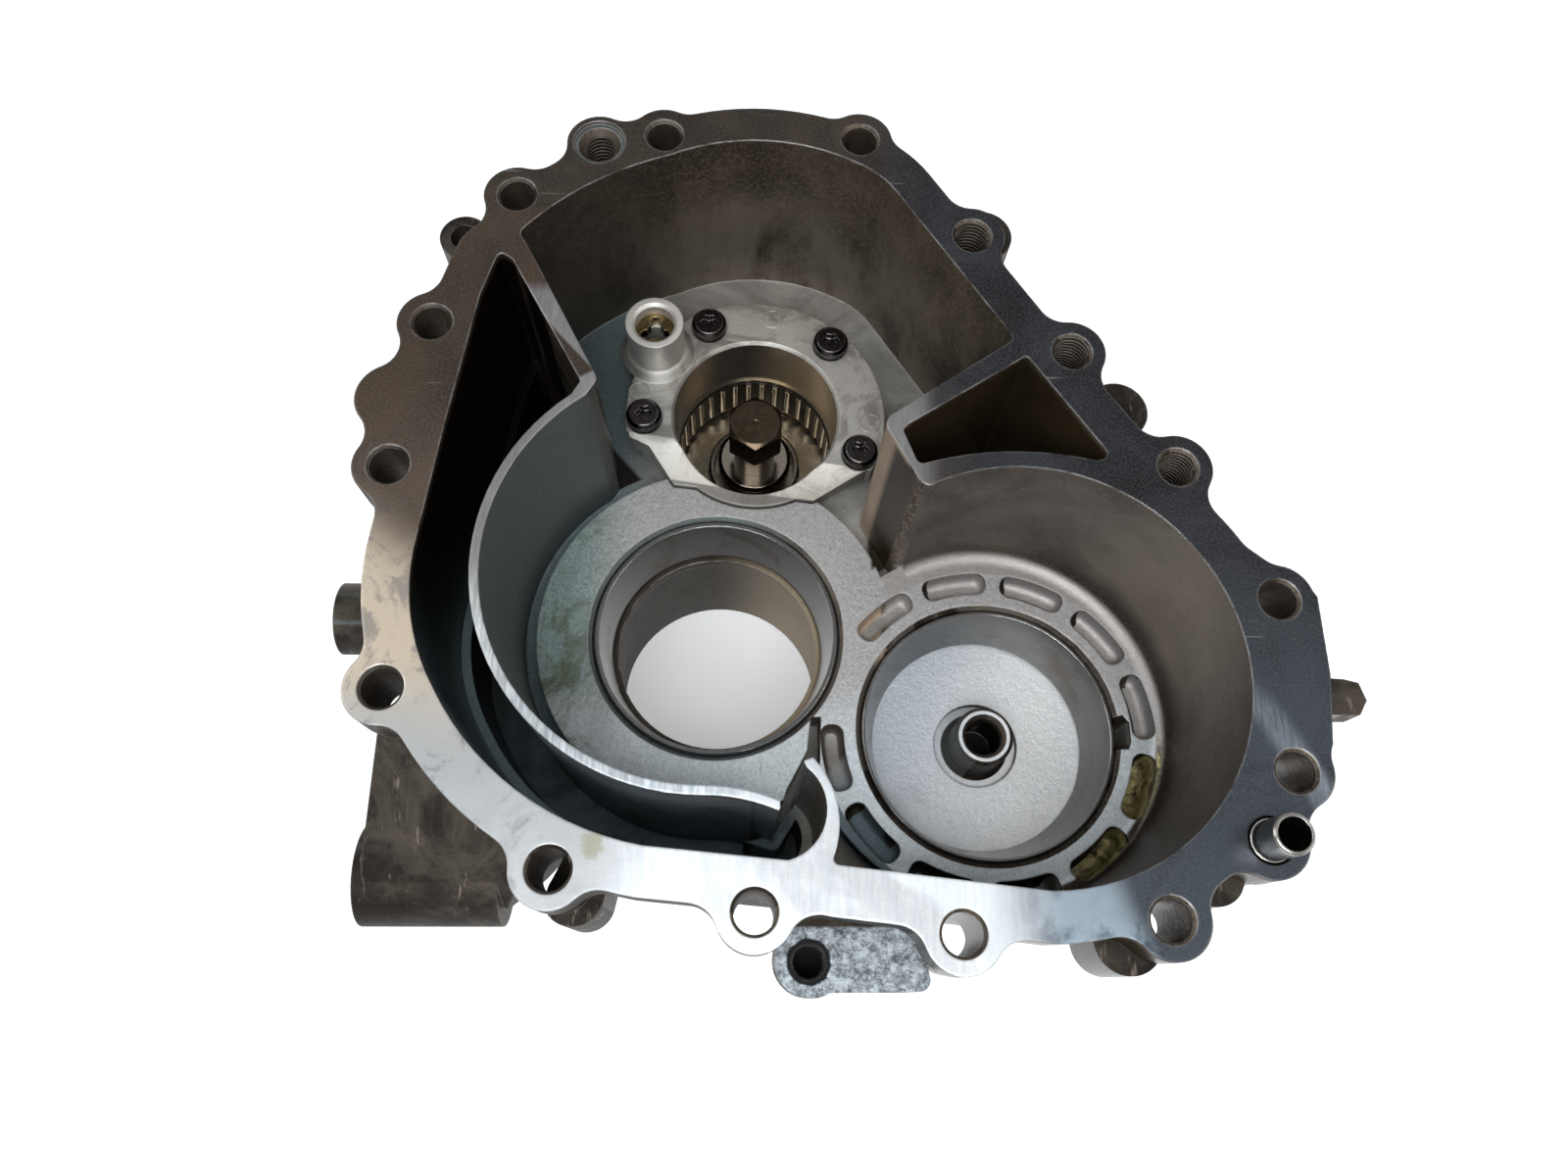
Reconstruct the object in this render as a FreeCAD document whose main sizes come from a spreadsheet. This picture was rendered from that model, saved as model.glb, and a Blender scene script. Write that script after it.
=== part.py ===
"""Transfer case half housing with its retainer plate, bearings and output shaft end.

The origin is on the output bore's axis, at the foot of the axle tube. +Z points out of the mating flange,
+X runs from the output bore towards the lower bearing's side, and +Y towards the shaft's side.
"""
import FreeCAD, Part
import Sketcher
import math
import os

doc = FreeCAD.newDocument("transfer_case_housing")
sheet = doc.addObject("Spreadsheet::Sheet", "sizes")

# Driving dimensions in millimetres: levels are heights above the tube's foot
SIZES = {
    "flange_level": 150.0,
    "flange_thickness": 12.0,
    "flange_width": 12.4,
    "corner_blend": 8.0,
    "bulge_x": -90.3,
    "bulge_y": 48.0,
    "bulge_radius": 10.6,
    "wall": 5.0,
    "floor_thickness": 7.0,
    "face_level": 85.0,
    "deep_floor_level": 77.0,
    "sump_floor_level": 60.0,
    "sump_ledge_level": 90.0,
    "sump_ledge": 3.0,
    "window_floor_level": 86.0,
    "bolt_boss_radius": 9.9,
    "bolt_boss_length": 26.0,
    "bolt_hole_diameter": 10.5,
    "hole_chamfer": 0.8,
    "boss_step": 0.6,
    # bearing axes
    "lower_x": 86.6,
    "lower_y": -31.3,
    "shaft_x": 12.0,
    "shaft_y": 76.4,
    # chamber arcs
    "web_arc_x": -1.6,
    "web_arc_y": 0.7,
    "web_arc_radius": 60.5,
    "web_thickness": 2.5,
    "lobe_x": 85.5,
    "lobe_y": -27.7,
    "lobe_radius": 57.5,
    "lobe_foot_round": 5.0,
    "gear_room_radius": 63.8,
    # output bearing seat and axle tube
    "boss_face_radius": 57.5,
    "output_cup_diameter": 80.0,
    "output_cup_width": 19.5,
    "cup_sink": 0.5,
    "cup_edge": 1.0,
    "cup_wall_thin": 2.2,
    "cup_wall_thick": 5.3,
    "fit_gap": 0.1,
    "shim_width": 4.6,
    "shim_thickness": 1.2,
    "tube_bore_radius": 36.7,
    "tube_outer_radius": 42.0,
    "tube_lip_radius": 33.2,
    "tube_lip_width": 4.0,
    "output_boss_radius": 49.0,
    "output_boss_foot": 22.0,
    "tube_root_height": 12.0,
    "mouth_chamfer": 1.2,
    # lower bearing seat
    "lower_cup_diameter": 82.0,
    "lower_cup_wall_thin": 1.8,
    "lower_cup_wall_thick": 6.2,
    "lower_boss_radius": 50.0,
    "lower_boss_height": 31.0,
    "nozzle_boss_radius": 9.5,
    "nozzle_boss_height": 15.0,
    "nozzle_bore_radius": 6.0,
    "nozzle_bore_depth": 21.0,
    "window_inner_radius": 46.0,
    "window_outer_radius": 53.4,
    "window_depth": 6.0,
    "window_deep": 13.0,
    "window_rib": 4.6,
    "window_corner": 3.2,
    "window_foot_round": 2.8,
    "pocket_foot_round": 1.8,
    "oil_slot_depth": 16.0,
    "channel_drop": 5.0,
    "window_first_angle": 10.0,
    "nozzle_moat_radius": 13.9,
    "nozzle_moat_depth": 3.0,
    # retainer plate
    "seat_level": 83.0,
    "retainer_thickness": 8.0,
    "retainer_radius": 44.0,
    "retainer_bore_radius": 27.8,
    "retainer_room": 0.4,
    "retainer_seat_margin": 1.5,
    "hub_radius": 32.0,
    "hub_depth": 45.0,
    "hub_clearance": 0.1,
    "relief_start": 13.8,
    "relief_run": 13.0,
    "relief_drop": 4.3,
    "screw_circle": 75.6,
    "oil_boss_radius": 9.6,
    "oil_boss_height": 18.0,
    "oil_boss_distance": 41.7,
    "oil_boss_angle": 145.0,
    "oil_bore_radius": 6.6,
    "oil_insert_thickness": 4.0,
    "oil_insert_sink": 5.0,
    "oil_root": 3.0,
    "oil_drill_radius": 4.1,
    "hub_mouth_chamfer": 1.0,
    "spot_face_depth": 0.6,
    "spot_face_room": 0.25,
    "screw_hole_gap": 0.2,
    # screws
    "screw_head_radius": 5.9,
    "screw_head_height": 4.4,
    "screw_shank_radius": 3.0,
    "screw_length": 14.0,
    "screw_tip": 0.6,
    "screw_socket_radius": 2.9,
    "screw_socket_depth": 2.6,
    # needle bearing
    "needle_count": 34.0,
    "needle_radius": 1.25,
    "needle_length": 15.0,
    "needle_circle_radius": 27.35,
    "needle_gap": 0.08,
    "shell_outer_radius": 30.0,
    "shell_height": 20.0,
    "shell_lip": 1.2,
    "shell_lip_stand": 0.6,
    "shell_edge": 0.8,
    "cage_thickness": 1.5,
    "cage_gap": 0.3,
    # shaft, collar and bolt
    "shaft_radius": 15.0,
    "shaft_rim_radius": 16.6,
    "shaft_top_level": 52.0,
    "shaft_foot_level": 4.0,
    "shaft_cup_radius": 15.0,
    "shaft_cup_depth": 5.0,
    "collar_radius": 13.2,
    "collar_height": 10.8,
    "bolt_head_flats": 18.0,
    "bolt_head_height": 13.0,
    "bolt_neck_radius": 7.4,
    "bolt_neck_height": 14.8,
    "bolt_thread_radius": 6.0,
    "bolt_length": 24.0,
    # rear ball bearing, circlip and seal
    "bearing_outer_radius": 31.0,
    "bearing_width": 16.0,
    "bearing_top_level": 40.0,
    "bearing_ring_thickness": 5.2,
    "ball_radius": 4.4,
    "ball_count": 11.0,
    "groove_gap": 0.2,
    "circlip_thickness": 2.0,
    "circlip_gap": 0.1,
    "circlip_groove_depth": 1.5,
    "circlip_inset": 2.6,
    "circlip_bite": 1.2,
    "circlip_opening": 9.0,
    "seal_width": 8.0,
    "seal_top_level": 17.0,
    "seal_gap": 0.3,
    "rear_boss_radius": 36.5,
    "hub_bowl_level": 44.0,
    "hub_wall": 7.0,
    "hub_floor": 8.0,
    "shaft_window_radius": 22.0,
    "washer_inner_radius": 17.1,
    "washer_room": 0.5,
    # dowel
    "dowel_x": 142.0,
    "dowel_y": -72.7,
    "dowel_radius": 5.2,
    "dowel_wall": 1.0,
    "dowel_stand": 12.5,
    "dowel_seat": 10.0,
    "dowel_step": 0.3,
    "dowel_relief_room": 1.0,
    "dowel_relief_depth": 3.0,
    # outer bosses
    "side_boss_y": -4.8,
    "side_boss_level": 111.0,
    "side_boss_radius": 10.6,
    "side_boss_reach": -109.0,
    "side_boss_root": -80.0,
    "bracket_eye_x": -99.5,
    "bracket_eye_y": -76.5,
    "bracket_eye_level": 92.0,
    "bracket_eye_radius": 14.6,
    "bracket_eye_length": 40.3,
    "bracket_bore_radius": 5.1,
    "bracket_bore_depth": 24.2,
    "lug_level": 132.6,
    "lug_thickness": 15.0,
    "lug_hole_x": 26.2,
    "lug_hole_y": -101.5,
    "lug_hole_radius": 4.3,
    "lug_hole_depth": 12.0,
    # spare hole beside the second bolt
    "spare_x": -37.7,
    "spare_y": 137.8,
    "spare_hole_radius": 4.8,
    "spare_step_radius": 8.0,
    "spare_step_depth": 1.2,
    "spare_hole_depth": 50.0,
    "spare_sink": 1.8,
    # sensor boss beyond the upper left corner
    "sensor_x": -81.6,
    "sensor_y": 117.4,
    "sensor_hole_radius": 4.4,
    "sensor_foot_level": 104.0,
    "sensor_top_level": 129.0,
    "tab_level": 139.0,
    "tab_thickness": 9.0,
    "rib_thickness": 5.0,
}

# Flange bolt holes, clockwise from the upper left
BOLT_HOLES = [
    (-61.3, 117.6), (-17.9, 141.2), (43.0, 141.7), (76.3, 106.9), (103.4, 67.3),
    (130.4, 30.6), (153.6, -8.5), (151.2, -55.2), (114.5, -92.1), (62.8, -95.4),
    (12.1, -90.4), (-38.2, -80.5), (-83.8, -35.5), (-89.2, 27.2), (-82.1, 72.6),
]
# How far a cutting tool runs past the face it opens, and what counts as level
PAST = 1.0
FLAT = 1e-6
# Directions in degrees in which the lobe's arc starts and ends, going clockwise
LOBE_ENDS = (115.5, -90.0)
# The retainer's skirt towards the output bore, anticlockwise from its left ear
RETAINER_SKIRT = [(-32.0, 76.0), (-30.5, 67.5), (-24.0, 64.5), (-15.3, 52.0), (31.7, 46.7), (49.9, 56.8),
                  (50.0, 70.0)]
# The flange's broad right side, anticlockwise from below
FLANGE_SIDE = [(120.0, -40.0), (150.0, -55.0), (161.8, -48.1), (164.2, -29.3), (164.2, -7.5), (155.0, 0.0),
               (140.0, 12.0)]
# Recesses round the lower bearing: how many places, the one without a recess, and the deep ones
WINDOW_PLACES = 12
PLAIN_PLACE = 5
DEEP_PLACES = (9, 10, 11)
# Retainer screws, as angles round the shaft's axis
SCREW_ANGLES = [116.0, 47.0, 183.0, -22.0]


def fill_sheet():
    """Write every size, and the bolt holes' places, as a number with an alias."""
    rows = dict(SIZES)
    for number, (x, y) in enumerate(BOLT_HOLES, 1):
        rows["bolt_%d_x" % number] = x
        rows["bolt_%d_y" % number] = y
    for number, angle in enumerate(SCREW_ANGLES, 1):
        rows["screw_%d_angle" % number] = angle
    for row, (alias, value) in enumerate(rows.items(), 1):
        sheet.set("A%d" % row, alias.replace("_", " "))
        sheet.set("B%d" % row, str(value))
        sheet.setAlias("B%d" % row, alias)
    doc.recompute()


class Dim:
    """A dimension that knows its value and the formula that gives it."""

    def __init__(self, value, formula):
        self.value = float(value)
        self.formula = formula

    def __float__(self):
        return self.value

    def __add__(self, other):
        return Dim(self.value + float(other), "(%s + %s)" % (self.formula, formula_of(other)))

    def __sub__(self, other):
        return Dim(self.value - float(other), "(%s - %s)" % (self.formula, formula_of(other)))

    def __mul__(self, other):
        return Dim(self.value * float(other), "%s * %s" % (self.formula, formula_of(other)))

    def __truediv__(self, other):
        return Dim(self.value / float(other), "%s / %s" % (self.formula, formula_of(other)))


def formula_of(number):
    """The text that stands for a dimension or a plain number in a formula."""
    return number.formula if isinstance(number, Dim) else "%.6f" % number


class SheetSizes:
    """Gives each cell of the sheet as a dimension, by its alias."""

    def __getattr__(self, alias):
        return Dim(getattr(sheet, alias), "sizes." + alias)


fill_sheet()
size = SheetSizes()


def bind(thing, path, number):
    """Tie one property to the sheet, or set it when it is a plain number."""
    if isinstance(number, Dim):
        thing.setExpression(path, number.formula)


def place(thing, x, y, z, rotation=None):
    """Put an object at x, y, z, with each coordinate tied to the sheet where it has a formula."""
    base = FreeCAD.Vector(float(x), float(y), float(z))
    thing.Placement = FreeCAD.Placement(base, rotation or FreeCAD.Rotation())
    bind(thing, "Placement.Base.x", x)
    bind(thing, "Placement.Base.y", y)
    bind(thing, "Placement.Base.z", z)
    return thing


def cylinder(name, radius, height, x, y, z, rotation=None):
    """A round bar or bore that starts at x, y, z and runs along its own axis."""
    bar = doc.addObject("Part::Cylinder", name)
    bar.Radius = float(radius)
    bar.Height = float(height)
    bind(bar, "Radius", radius)
    bind(bar, "Height", height)
    return place(bar, x, y, z, rotation)


def cone(name, radius_low, radius_high, height, x, y, z):
    """A cone's stretch along Z, from its lower radius to its upper one."""
    piece = doc.addObject("Part::Cone", name)
    piece.Radius1 = float(radius_low)
    piece.Radius2 = float(radius_high)
    piece.Height = float(height)
    bind(piece, "Radius1", radius_low)
    bind(piece, "Radius2", radius_high)
    bind(piece, "Height", height)
    return place(piece, x, y, z)


def prism(name, face, bottom, top):
    """A flat face at height zero, drawn out along Z from bottom to top."""
    outline = doc.addObject("Part::Feature", name + "_outline")
    outline.Shape = face
    solid = doc.addObject("Part::Extrusion", name)
    solid.Base = outline
    solid.DirMode = "Custom"
    solid.Dir = FreeCAD.Vector(0, 0, 1)
    solid.Solid = True
    height = top - bottom
    solid.LengthFwd = float(height)
    bind(solid, "LengthFwd", height)
    return place(solid, 0, 0, bottom)


def round_foot(solid, radius):
    """A prism whose lower edges are rounded."""
    doc.recompute()
    shape = solid.Shape
    foot = shape.BoundBox.ZMin
    low = [number for number, edge in enumerate(shape.Edges, 1) if edge.BoundBox.ZMax - foot < FLAT]
    rounded = doc.addObject("Part::Fillet", solid.Name + "_rounded")
    rounded.Base = solid
    rounded.Edges = [(number, float(radius), float(radius)) for number in low]
    return rounded


def fuse(name, pieces):
    """One solid from several that touch."""
    joined = doc.addObject("Part::MultiFuse", name)
    joined.Shapes = pieces
    return joined


def cut(name, solid, tool):
    """What is left of a solid when a tool has gone through it."""
    rest = doc.addObject("Part::Cut", name)
    rest.Base = solid
    rest.Tool = tool
    return rest


def common(name, first, second):
    """What two solids share."""
    shared = doc.addObject("Part::MultiCommon", name)
    shared.Shapes = [first, second]
    return shared


def point(x, y):
    return FreeCAD.Vector(float(x), float(y), 0)


def polar(centre_x, centre_y, radius, degrees):
    """A point on a circle in the flat."""
    turn = math.radians(degrees)
    reach = float(radius)
    return point(float(centre_x) + reach * math.cos(turn), float(centre_y) + reach * math.sin(turn))


class Outline:
    """A closed outline drawn edge by edge, with lines, arcs and rounded corners."""

    def __init__(self, x, y):
        self.start = point(x, y)
        self.pen = self.start
        self.edges = []

    def line(self, x, y):
        goal = point(x, y)
        self.edges.append(Part.LineSegment(self.pen, goal).toShape())
        self.pen = goal
        return self

    def arc(self, via, goal):
        self.edges.append(Part.Arc(self.pen, via, goal).toShape())
        self.pen = goal
        return self

    def corner(self, x, y, radius, next_x, next_y):
        """A line towards x, y whose corner is rounded before the next point is aimed at."""
        tip = point(x, y)
        back = (self.pen - tip).normalize()
        ahead = (point(next_x, next_y) - tip).normalize()
        half = back.getAngle(ahead) / 2
        reach = float(radius) / math.tan(half)
        middle = (back + ahead).normalize()
        centre = tip + middle * (float(radius) / math.sin(half))
        first = tip + back * reach
        last = tip + ahead * reach
        self.line(first.x, first.y)
        return self.arc(centre - middle * float(radius), last)

    def face(self):
        if self.pen.distanceToPoint(self.start) > FLAT:
            self.line(self.start.x, self.start.y)
        return facing_up(Part.Wire(self.edges))


def facing_up(wire):
    """The flat face inside a closed wire, with its front towards +Z."""
    face = Part.Face(wire)
    if face.normalAt(0, 0).z > 0:
        return face
    return Part.Face(Part.Wire([edge.reversed() for edge in reversed(wire.OrderedEdges)]))


def disc(x, y, radius):
    return facing_up(Part.Wire(Part.makeCircle(float(radius), point(x, y))))


def polygon(points):
    corners = [point(x, y) for x, y in points]
    return facing_up(Part.makePolygon(corners + corners[:1]))


def single(shape):
    """The one face of a flat boolean's result, with its seams taken out."""
    faces = shape.removeSplitter().Faces
    return max(faces, key=lambda face: face.Area)


def grown(face, distance):
    """A face whose edge has moved outwards by a distance, or inwards if it is negative."""
    return single(face.makeOffset2D(float(distance)))


def chamber_face():
    """The gear chamber's opening in the flange: shaft bell, curved web and lower bearing lobe."""
    web_x, web_y, web_r = size.web_arc_x, size.web_arc_y, size.web_arc_radius
    lobe_x, lobe_y, lobe_r = size.lobe_x, size.lobe_y, size.lobe_radius
    bell_from = polar(size.shaft_x, size.shaft_y, size.gear_room_radius, 116.4)
    bell_top = polar(size.shaft_x, size.shaft_y, size.gear_room_radius, 84.0)
    bell_to = polar(size.shaft_x, size.shaft_y, size.gear_room_radius, 60.0)
    lobe_from = polar(lobe_x, lobe_y, lobe_r, LOBE_ENDS[0])
    lobe_to = polar(lobe_x, lobe_y, lobe_r, LOBE_ENDS[1])
    web_from = polar(web_x, web_y, web_r, 270.0)
    web_to = polar(web_x, web_y, web_r, 125.5)
    edge = Outline(-57.2, 107.0)
    edge.arc(point(-40.6, 121.6), bell_from)
    edge.arc(bell_top, bell_to)
    edge.corner(50.05, 128.1, 28.0, 86.9, 71.2)
    edge.corner(86.9, 71.2, 2.0, 47.0, 43.6)
    edge.corner(47.0, 43.6, 4.0, 58.5, 23.0)
    edge.corner(58.5, 22.6, 3.0, lobe_from.x + 3.0, lobe_from.y + 1.4)
    edge.line(lobe_from.x, lobe_from.y)
    edge.arc(polar(lobe_x, lobe_y, lobe_r, 0.0), lobe_to)
    edge.corner(31.2, -79.0, 1.5, 32.4, -72.0)
    edge.arc(point(32.6, -64.0), point(26.6, -52.6))
    edge.line(24.4, -53.4)
    edge.line(18.8, -63.8)
    edge.arc(point(9.7, -60.9), web_from)
    edge.arc(polar(web_x, web_y, web_r, 190.0), web_to)
    edge.corner(-33.8, 54.8, 3.0, -36.7, 63.0)
    edge.line(-56.3, 98.7)
    edge.corner(-59.6, 104.2, 2.5, -57.2, 107.0)
    return edge.face()


def sump_face():
    """The oil sump's opening: a crescent outside the curved web, with a round pocket in the hook."""
    web_x, web_y = size.web_arc_x, size.web_arc_y
    outer_r = size.web_arc_radius + size.web_thickness
    arc_from = polar(web_x, web_y, outer_r, 128.5)
    arc_to = polar(web_x, web_y, outer_r, 270.0)
    edge = Outline(-66.0, 93.5)
    edge.corner(-64.6, 97.4, 1.5, -59.6, 93.2)
    edge.corner(-60.9, 94.6, 1.0, -38.6, 54.3)
    edge.corner(-38.4, 54.3, 1.5, arc_from.x, arc_from.y)
    edge.line(arc_from.x, arc_from.y)
    edge.arc(polar(web_x, web_y, outer_r, 190.0), arc_to)
    edge.arc(point(9.7, -63.4), point(17.9, -66.0))
    edge.line(24.6, -54.9)
    edge.arc(point(29.9, -67.4), point(20.3, -78.1))
    edge.line(-15.5, -74.7)
    edge.arc(point(-48.3, -60.7), point(-70.5, -35.5))
    edge.arc(point(-78.5, -15.3), point(-79.2, 6.0))
    edge.line(-74.9, 41.7)
    edge.line(-69.1, 82.3)
    return edge.face()


def pocket_face():
    """The three-sided core-out between the bell and the lobe."""
    edge = Outline(88.0, 64.4)
    edge.corner(89.7, 66.0, 1.5, 111.4, 34.6)
    edge.corner(111.4, 34.0, 2.0, 108.2, 32.1)
    edge.line(107.4, 32.2)
    edge.arc(point(83.0, 34.6), point(61.0, 31.2))
    edge.corner(56.9, 30.0, 2.0, 52.6, 41.2)
    edge.corner(52.6, 41.4, 2.0, 66.0, 50.2)
    return edge.face()


CHAMBER = chamber_face()
SUMP = sump_face()
POCKET = pocket_face()


def flange_face():
    """The mating flange: the openings' common rim with a boss at each bolt hole and blended corners."""
    rim = [grown(opening, size.flange_width) for opening in (CHAMBER, SUMP, POCKET)]
    spots = bolt_places() + [(size.dowel_x, size.dowel_y), (size.spare_x, size.spare_y)]
    bosses = [disc(x, y, size.bolt_boss_radius) for x, y in spots]
    bosses.append(disc(size.bulge_x, size.bulge_y, size.bulge_radius))
    bosses.append(polygon(FLANGE_SIDE))
    whole = single(rim[0].fuse(rim[1:] + bosses))
    return grown(grown(whole, size.corner_blend), size.corner_blend * -1.0)


def bolt_places():
    """The bolt holes' places as dimensions."""
    return [(getattr(size, "bolt_%d_x" % number), getattr(size, "bolt_%d_y" % number))
            for number in range(1, len(BOLT_HOLES) + 1)]


def shell_pieces():
    """The casting's walls, grown from its openings, with the flange on top."""
    floor = size.floor_thickness
    flange = prism("flange_plate", flange_face(), size.flange_level - size.flange_thickness, size.flange_level)
    bell = prism("chamber_wall", grown(CHAMBER, size.wall), size.deep_floor_level - floor, size.flange_level)
    sump = prism("sump_wall", grown(SUMP, size.wall), size.sump_floor_level - floor, size.flange_level)
    pocket = prism("pocket_wall", grown(POCKET, size.wall), size.window_floor_level - floor, size.flange_level)
    return [flange, bell, sump, pocket]


def core_pieces():
    """The hollows that the casting's cores leave."""
    top = size.flange_level + PAST
    chamber = prism("chamber_core", CHAMBER, size.face_level, top)
    kept = [disc(0, 0, size.boss_face_radius), disc(size.lobe_x, size.lobe_y, size.lobe_radius),
            disc(size.lower_x, size.lower_y, size.window_outer_radius + 1.0)]
    low = CHAMBER
    for island in kept:
        low = low.cut(island)
    deep = prism("deep_floor_core", low, size.deep_floor_level, size.face_level + PAST)
    sump = prism("sump_core", SUMP, size.sump_ledge_level, top)
    near_web = disc(size.web_arc_x, size.web_arc_y, size.web_arc_radius + size.web_thickness + 5.0)
    narrow = single(grown(SUMP, size.sump_ledge * -1.0).fuse(single(SUMP.common(near_web))))
    sump_low = prism("sump_low_core", narrow, size.sump_floor_level, size.sump_ledge_level + PAST)
    pocket = round_foot(prism("pocket_core", POCKET, size.window_floor_level, top), size.pocket_foot_round)
    gap = polygon([(18.3, -63.4), (24.0, -53.1), (25.0, -55.2), (18.3, -66.3)])
    gap_core = prism("gap_core", gap, size.deep_floor_level, top)
    channel = polygon([(19.0, -63.0), (22.6, -50.0), (29.0, -38.0), (30.3, -27.0), (33.5, -27.0), (33.0, -44.0),
                       (27.0, -52.0), (24.5, -53.0)])
    channel_core = prism("channel_core", channel, size.deep_floor_level - size.channel_drop,
                         size.face_level + PAST)
    return [chamber, deep, sump, sump_low, pocket, gap_core, channel_core]


def boss_pieces():
    """Bosses on the casting: bearing seats, tube, bolt bosses and what sticks out of the walls."""
    face, deep = size.face_level, size.deep_floor_level
    low_boss = size.output_cup_width + size.shim_thickness + size.output_boss_foot
    root = size.tube_root_height
    lower = size.lower_boss_height
    bowl_foot = size.hub_bowl_level - size.hub_floor
    pieces = [
        cylinder("output_boss", size.output_boss_radius, low_boss, 0, 0, face - low_boss),
        cone("tube_root", size.tube_outer_radius, size.output_boss_radius, root, 0, 0, face - low_boss - root),
        cylinder("axle_tube", size.tube_outer_radius, face, 0, 0, 0),
        cylinder("lower_boss", size.lower_boss_radius, lower, size.lower_x, size.lower_y, face - lower),
        cylinder("rear_boss", size.rear_boss_radius, deep, size.shaft_x, size.shaft_y, 0),
        cylinder("hub_boss", size.hub_radius + size.hub_wall, deep - bowl_foot, size.shaft_x, size.shaft_y,
                 bowl_foot),
        prism("retainer_seat", retainer_outline(float(size.retainer_seat_margin)), deep - PAST, size.seat_level),
    ]
    spots = [("bolt_boss_%d" % number, x, y) for number, (x, y) in enumerate(bolt_places(), 1)]
    spots += [("dowel_boss", size.dowel_x, size.dowel_y), ("spare_boss", size.spare_x, size.spare_y)]
    radius = size.bolt_boss_radius - size.boss_step
    length = size.bolt_boss_length
    for name, x, y in spots:
        pieces.append(cylinder(name, radius, length, x, y, size.flange_level - length))
    for name, x, y, radius, low, high, root_x, root_y in OUTER_BOSSES:
        face_shape = necked(x, y, radius, root_x, root_y, radius * 0.8)
        pieces.append(prism(name, face_shape, low, high))
    sideways = FreeCAD.Rotation(FreeCAD.Vector(0, 1, 0), 90)
    reach = size.side_boss_reach
    pieces.append(cylinder("side_boss", size.side_boss_radius, size.side_boss_root - reach, reach,
                           size.side_boss_y, size.side_boss_level, sideways))
    pieces += bracket_pieces(sideways)
    pieces.append(prism("lug", lug_face(), size.lug_level - size.lug_thickness, size.lug_level))
    tab = polygon([(144.0, -26.0), (173.6, -27.6), (177.7, -28.6), (179.2, -33.6), (176.7, -37.6), (144.0, -37.6)])
    pieces.append(prism("tab", tab, size.tab_level - size.tab_thickness, size.tab_level))
    return pieces + back_ribs()


# Bosses that sit below the flange, outside its rim: name, x, y, radius, foot, top, and where the wall holds them
OUTER_BOSSES = [
    ("sensor_boss", size.sensor_x, size.sensor_y, 7.8, size.sensor_foot_level, size.sensor_top_level, -66.0,
     100.0),
    ("pocket_boss", 121.8, 58.6, 9.5, 108.0, 131.0, 104.0, 44.0),
    ("bell_boss", 81.5, 113.0, 9.0, 118.0, 142.0, 66.0, 104.0),
    ("lobe_boss", 107.0, -96.0, 9.0, 116.0, 138.0, 102.0, -82.0),
    ("foot_boss", -34.5, -85.0, 8.0, 100.0, 130.0, -30.0, -72.0),
    ("low_dowel_boss", 132.0, -80.0, 8.0, 116.0, 136.0, 122.0, -68.0),
]


def necked(x, y, radius, root_x, root_y, root_radius):
    """A round boss joined to its root by a neck."""
    head = point(x, y)
    root = point(root_x, root_y)
    along = (root - head).normalize()
    side = FreeCAD.Vector(-along.y, along.x, 0)
    corners = [head + side * radius, root + side * root_radius, root - side * root_radius, head - side * radius]
    neck = facing_up(Part.makePolygon(corners + corners[:1]))
    return single(neck.fuse([disc(x, y, radius), disc(root_x, root_y, root_radius)]))


def lug_face():
    """The flat lug under the flange's lower edge."""
    edge = Outline(20.0, -88.0)
    edge.line(17.4, -99.0)
    edge.arc(point(21.0, -108.4), point(31.5, -108.9))
    edge.line(50.8, -108.8)
    edge.corner(57.2, -108.4, 3.0, 56.9, -99.0)
    edge.line(52.8, -88.0)
    return edge.face()


def bracket_pieces(sideways):
    """The mounting bracket: a cross-drilled eye joined to the wall by a sloping web."""
    eye = cylinder("bracket_eye", size.bracket_eye_radius, size.bracket_eye_length, size.bracket_eye_x,
                   size.bracket_eye_y, size.bracket_eye_level, sideways)
    flat = polygon([(-86.0, -34.0), (-96.5, -76.5), (-96.0, -82.0), (-58.0, -86.0), (-44.0, -70.0),
                    (-70.0, -28.0)])
    plan = prism("bracket_plan", flat, size.bracket_eye_level - 16.0, size.flange_level - 5.0)
    y = float(size.bracket_eye_y)
    z = float(size.bracket_eye_level)
    r = float(size.bracket_eye_radius)
    high = float(size.flange_level) - float(size.flange_thickness)
    corners = [(y - r * 0.7, z), (y - r * 0.3, z + r * 0.93), (-38.0, high), (-20.0, high), (-20.0, z - 14.0),
               (y, z - r * 0.9)]
    slope_edges = [FreeCAD.Vector(-110.0, across, level) for across, level in corners]
    slope = doc.addObject("Part::Feature", "bracket_slope_outline")
    slope.Shape = Part.Face(Part.makePolygon(slope_edges + slope_edges[:1]))
    side = doc.addObject("Part::Extrusion", "bracket_slope")
    side.Base = slope
    side.DirMode = "Custom"
    side.Dir = FreeCAD.Vector(1, 0, 0)
    side.LengthFwd = 80.0
    side.Solid = True
    return [eye, common("bracket_web", plan, side)]


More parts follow.
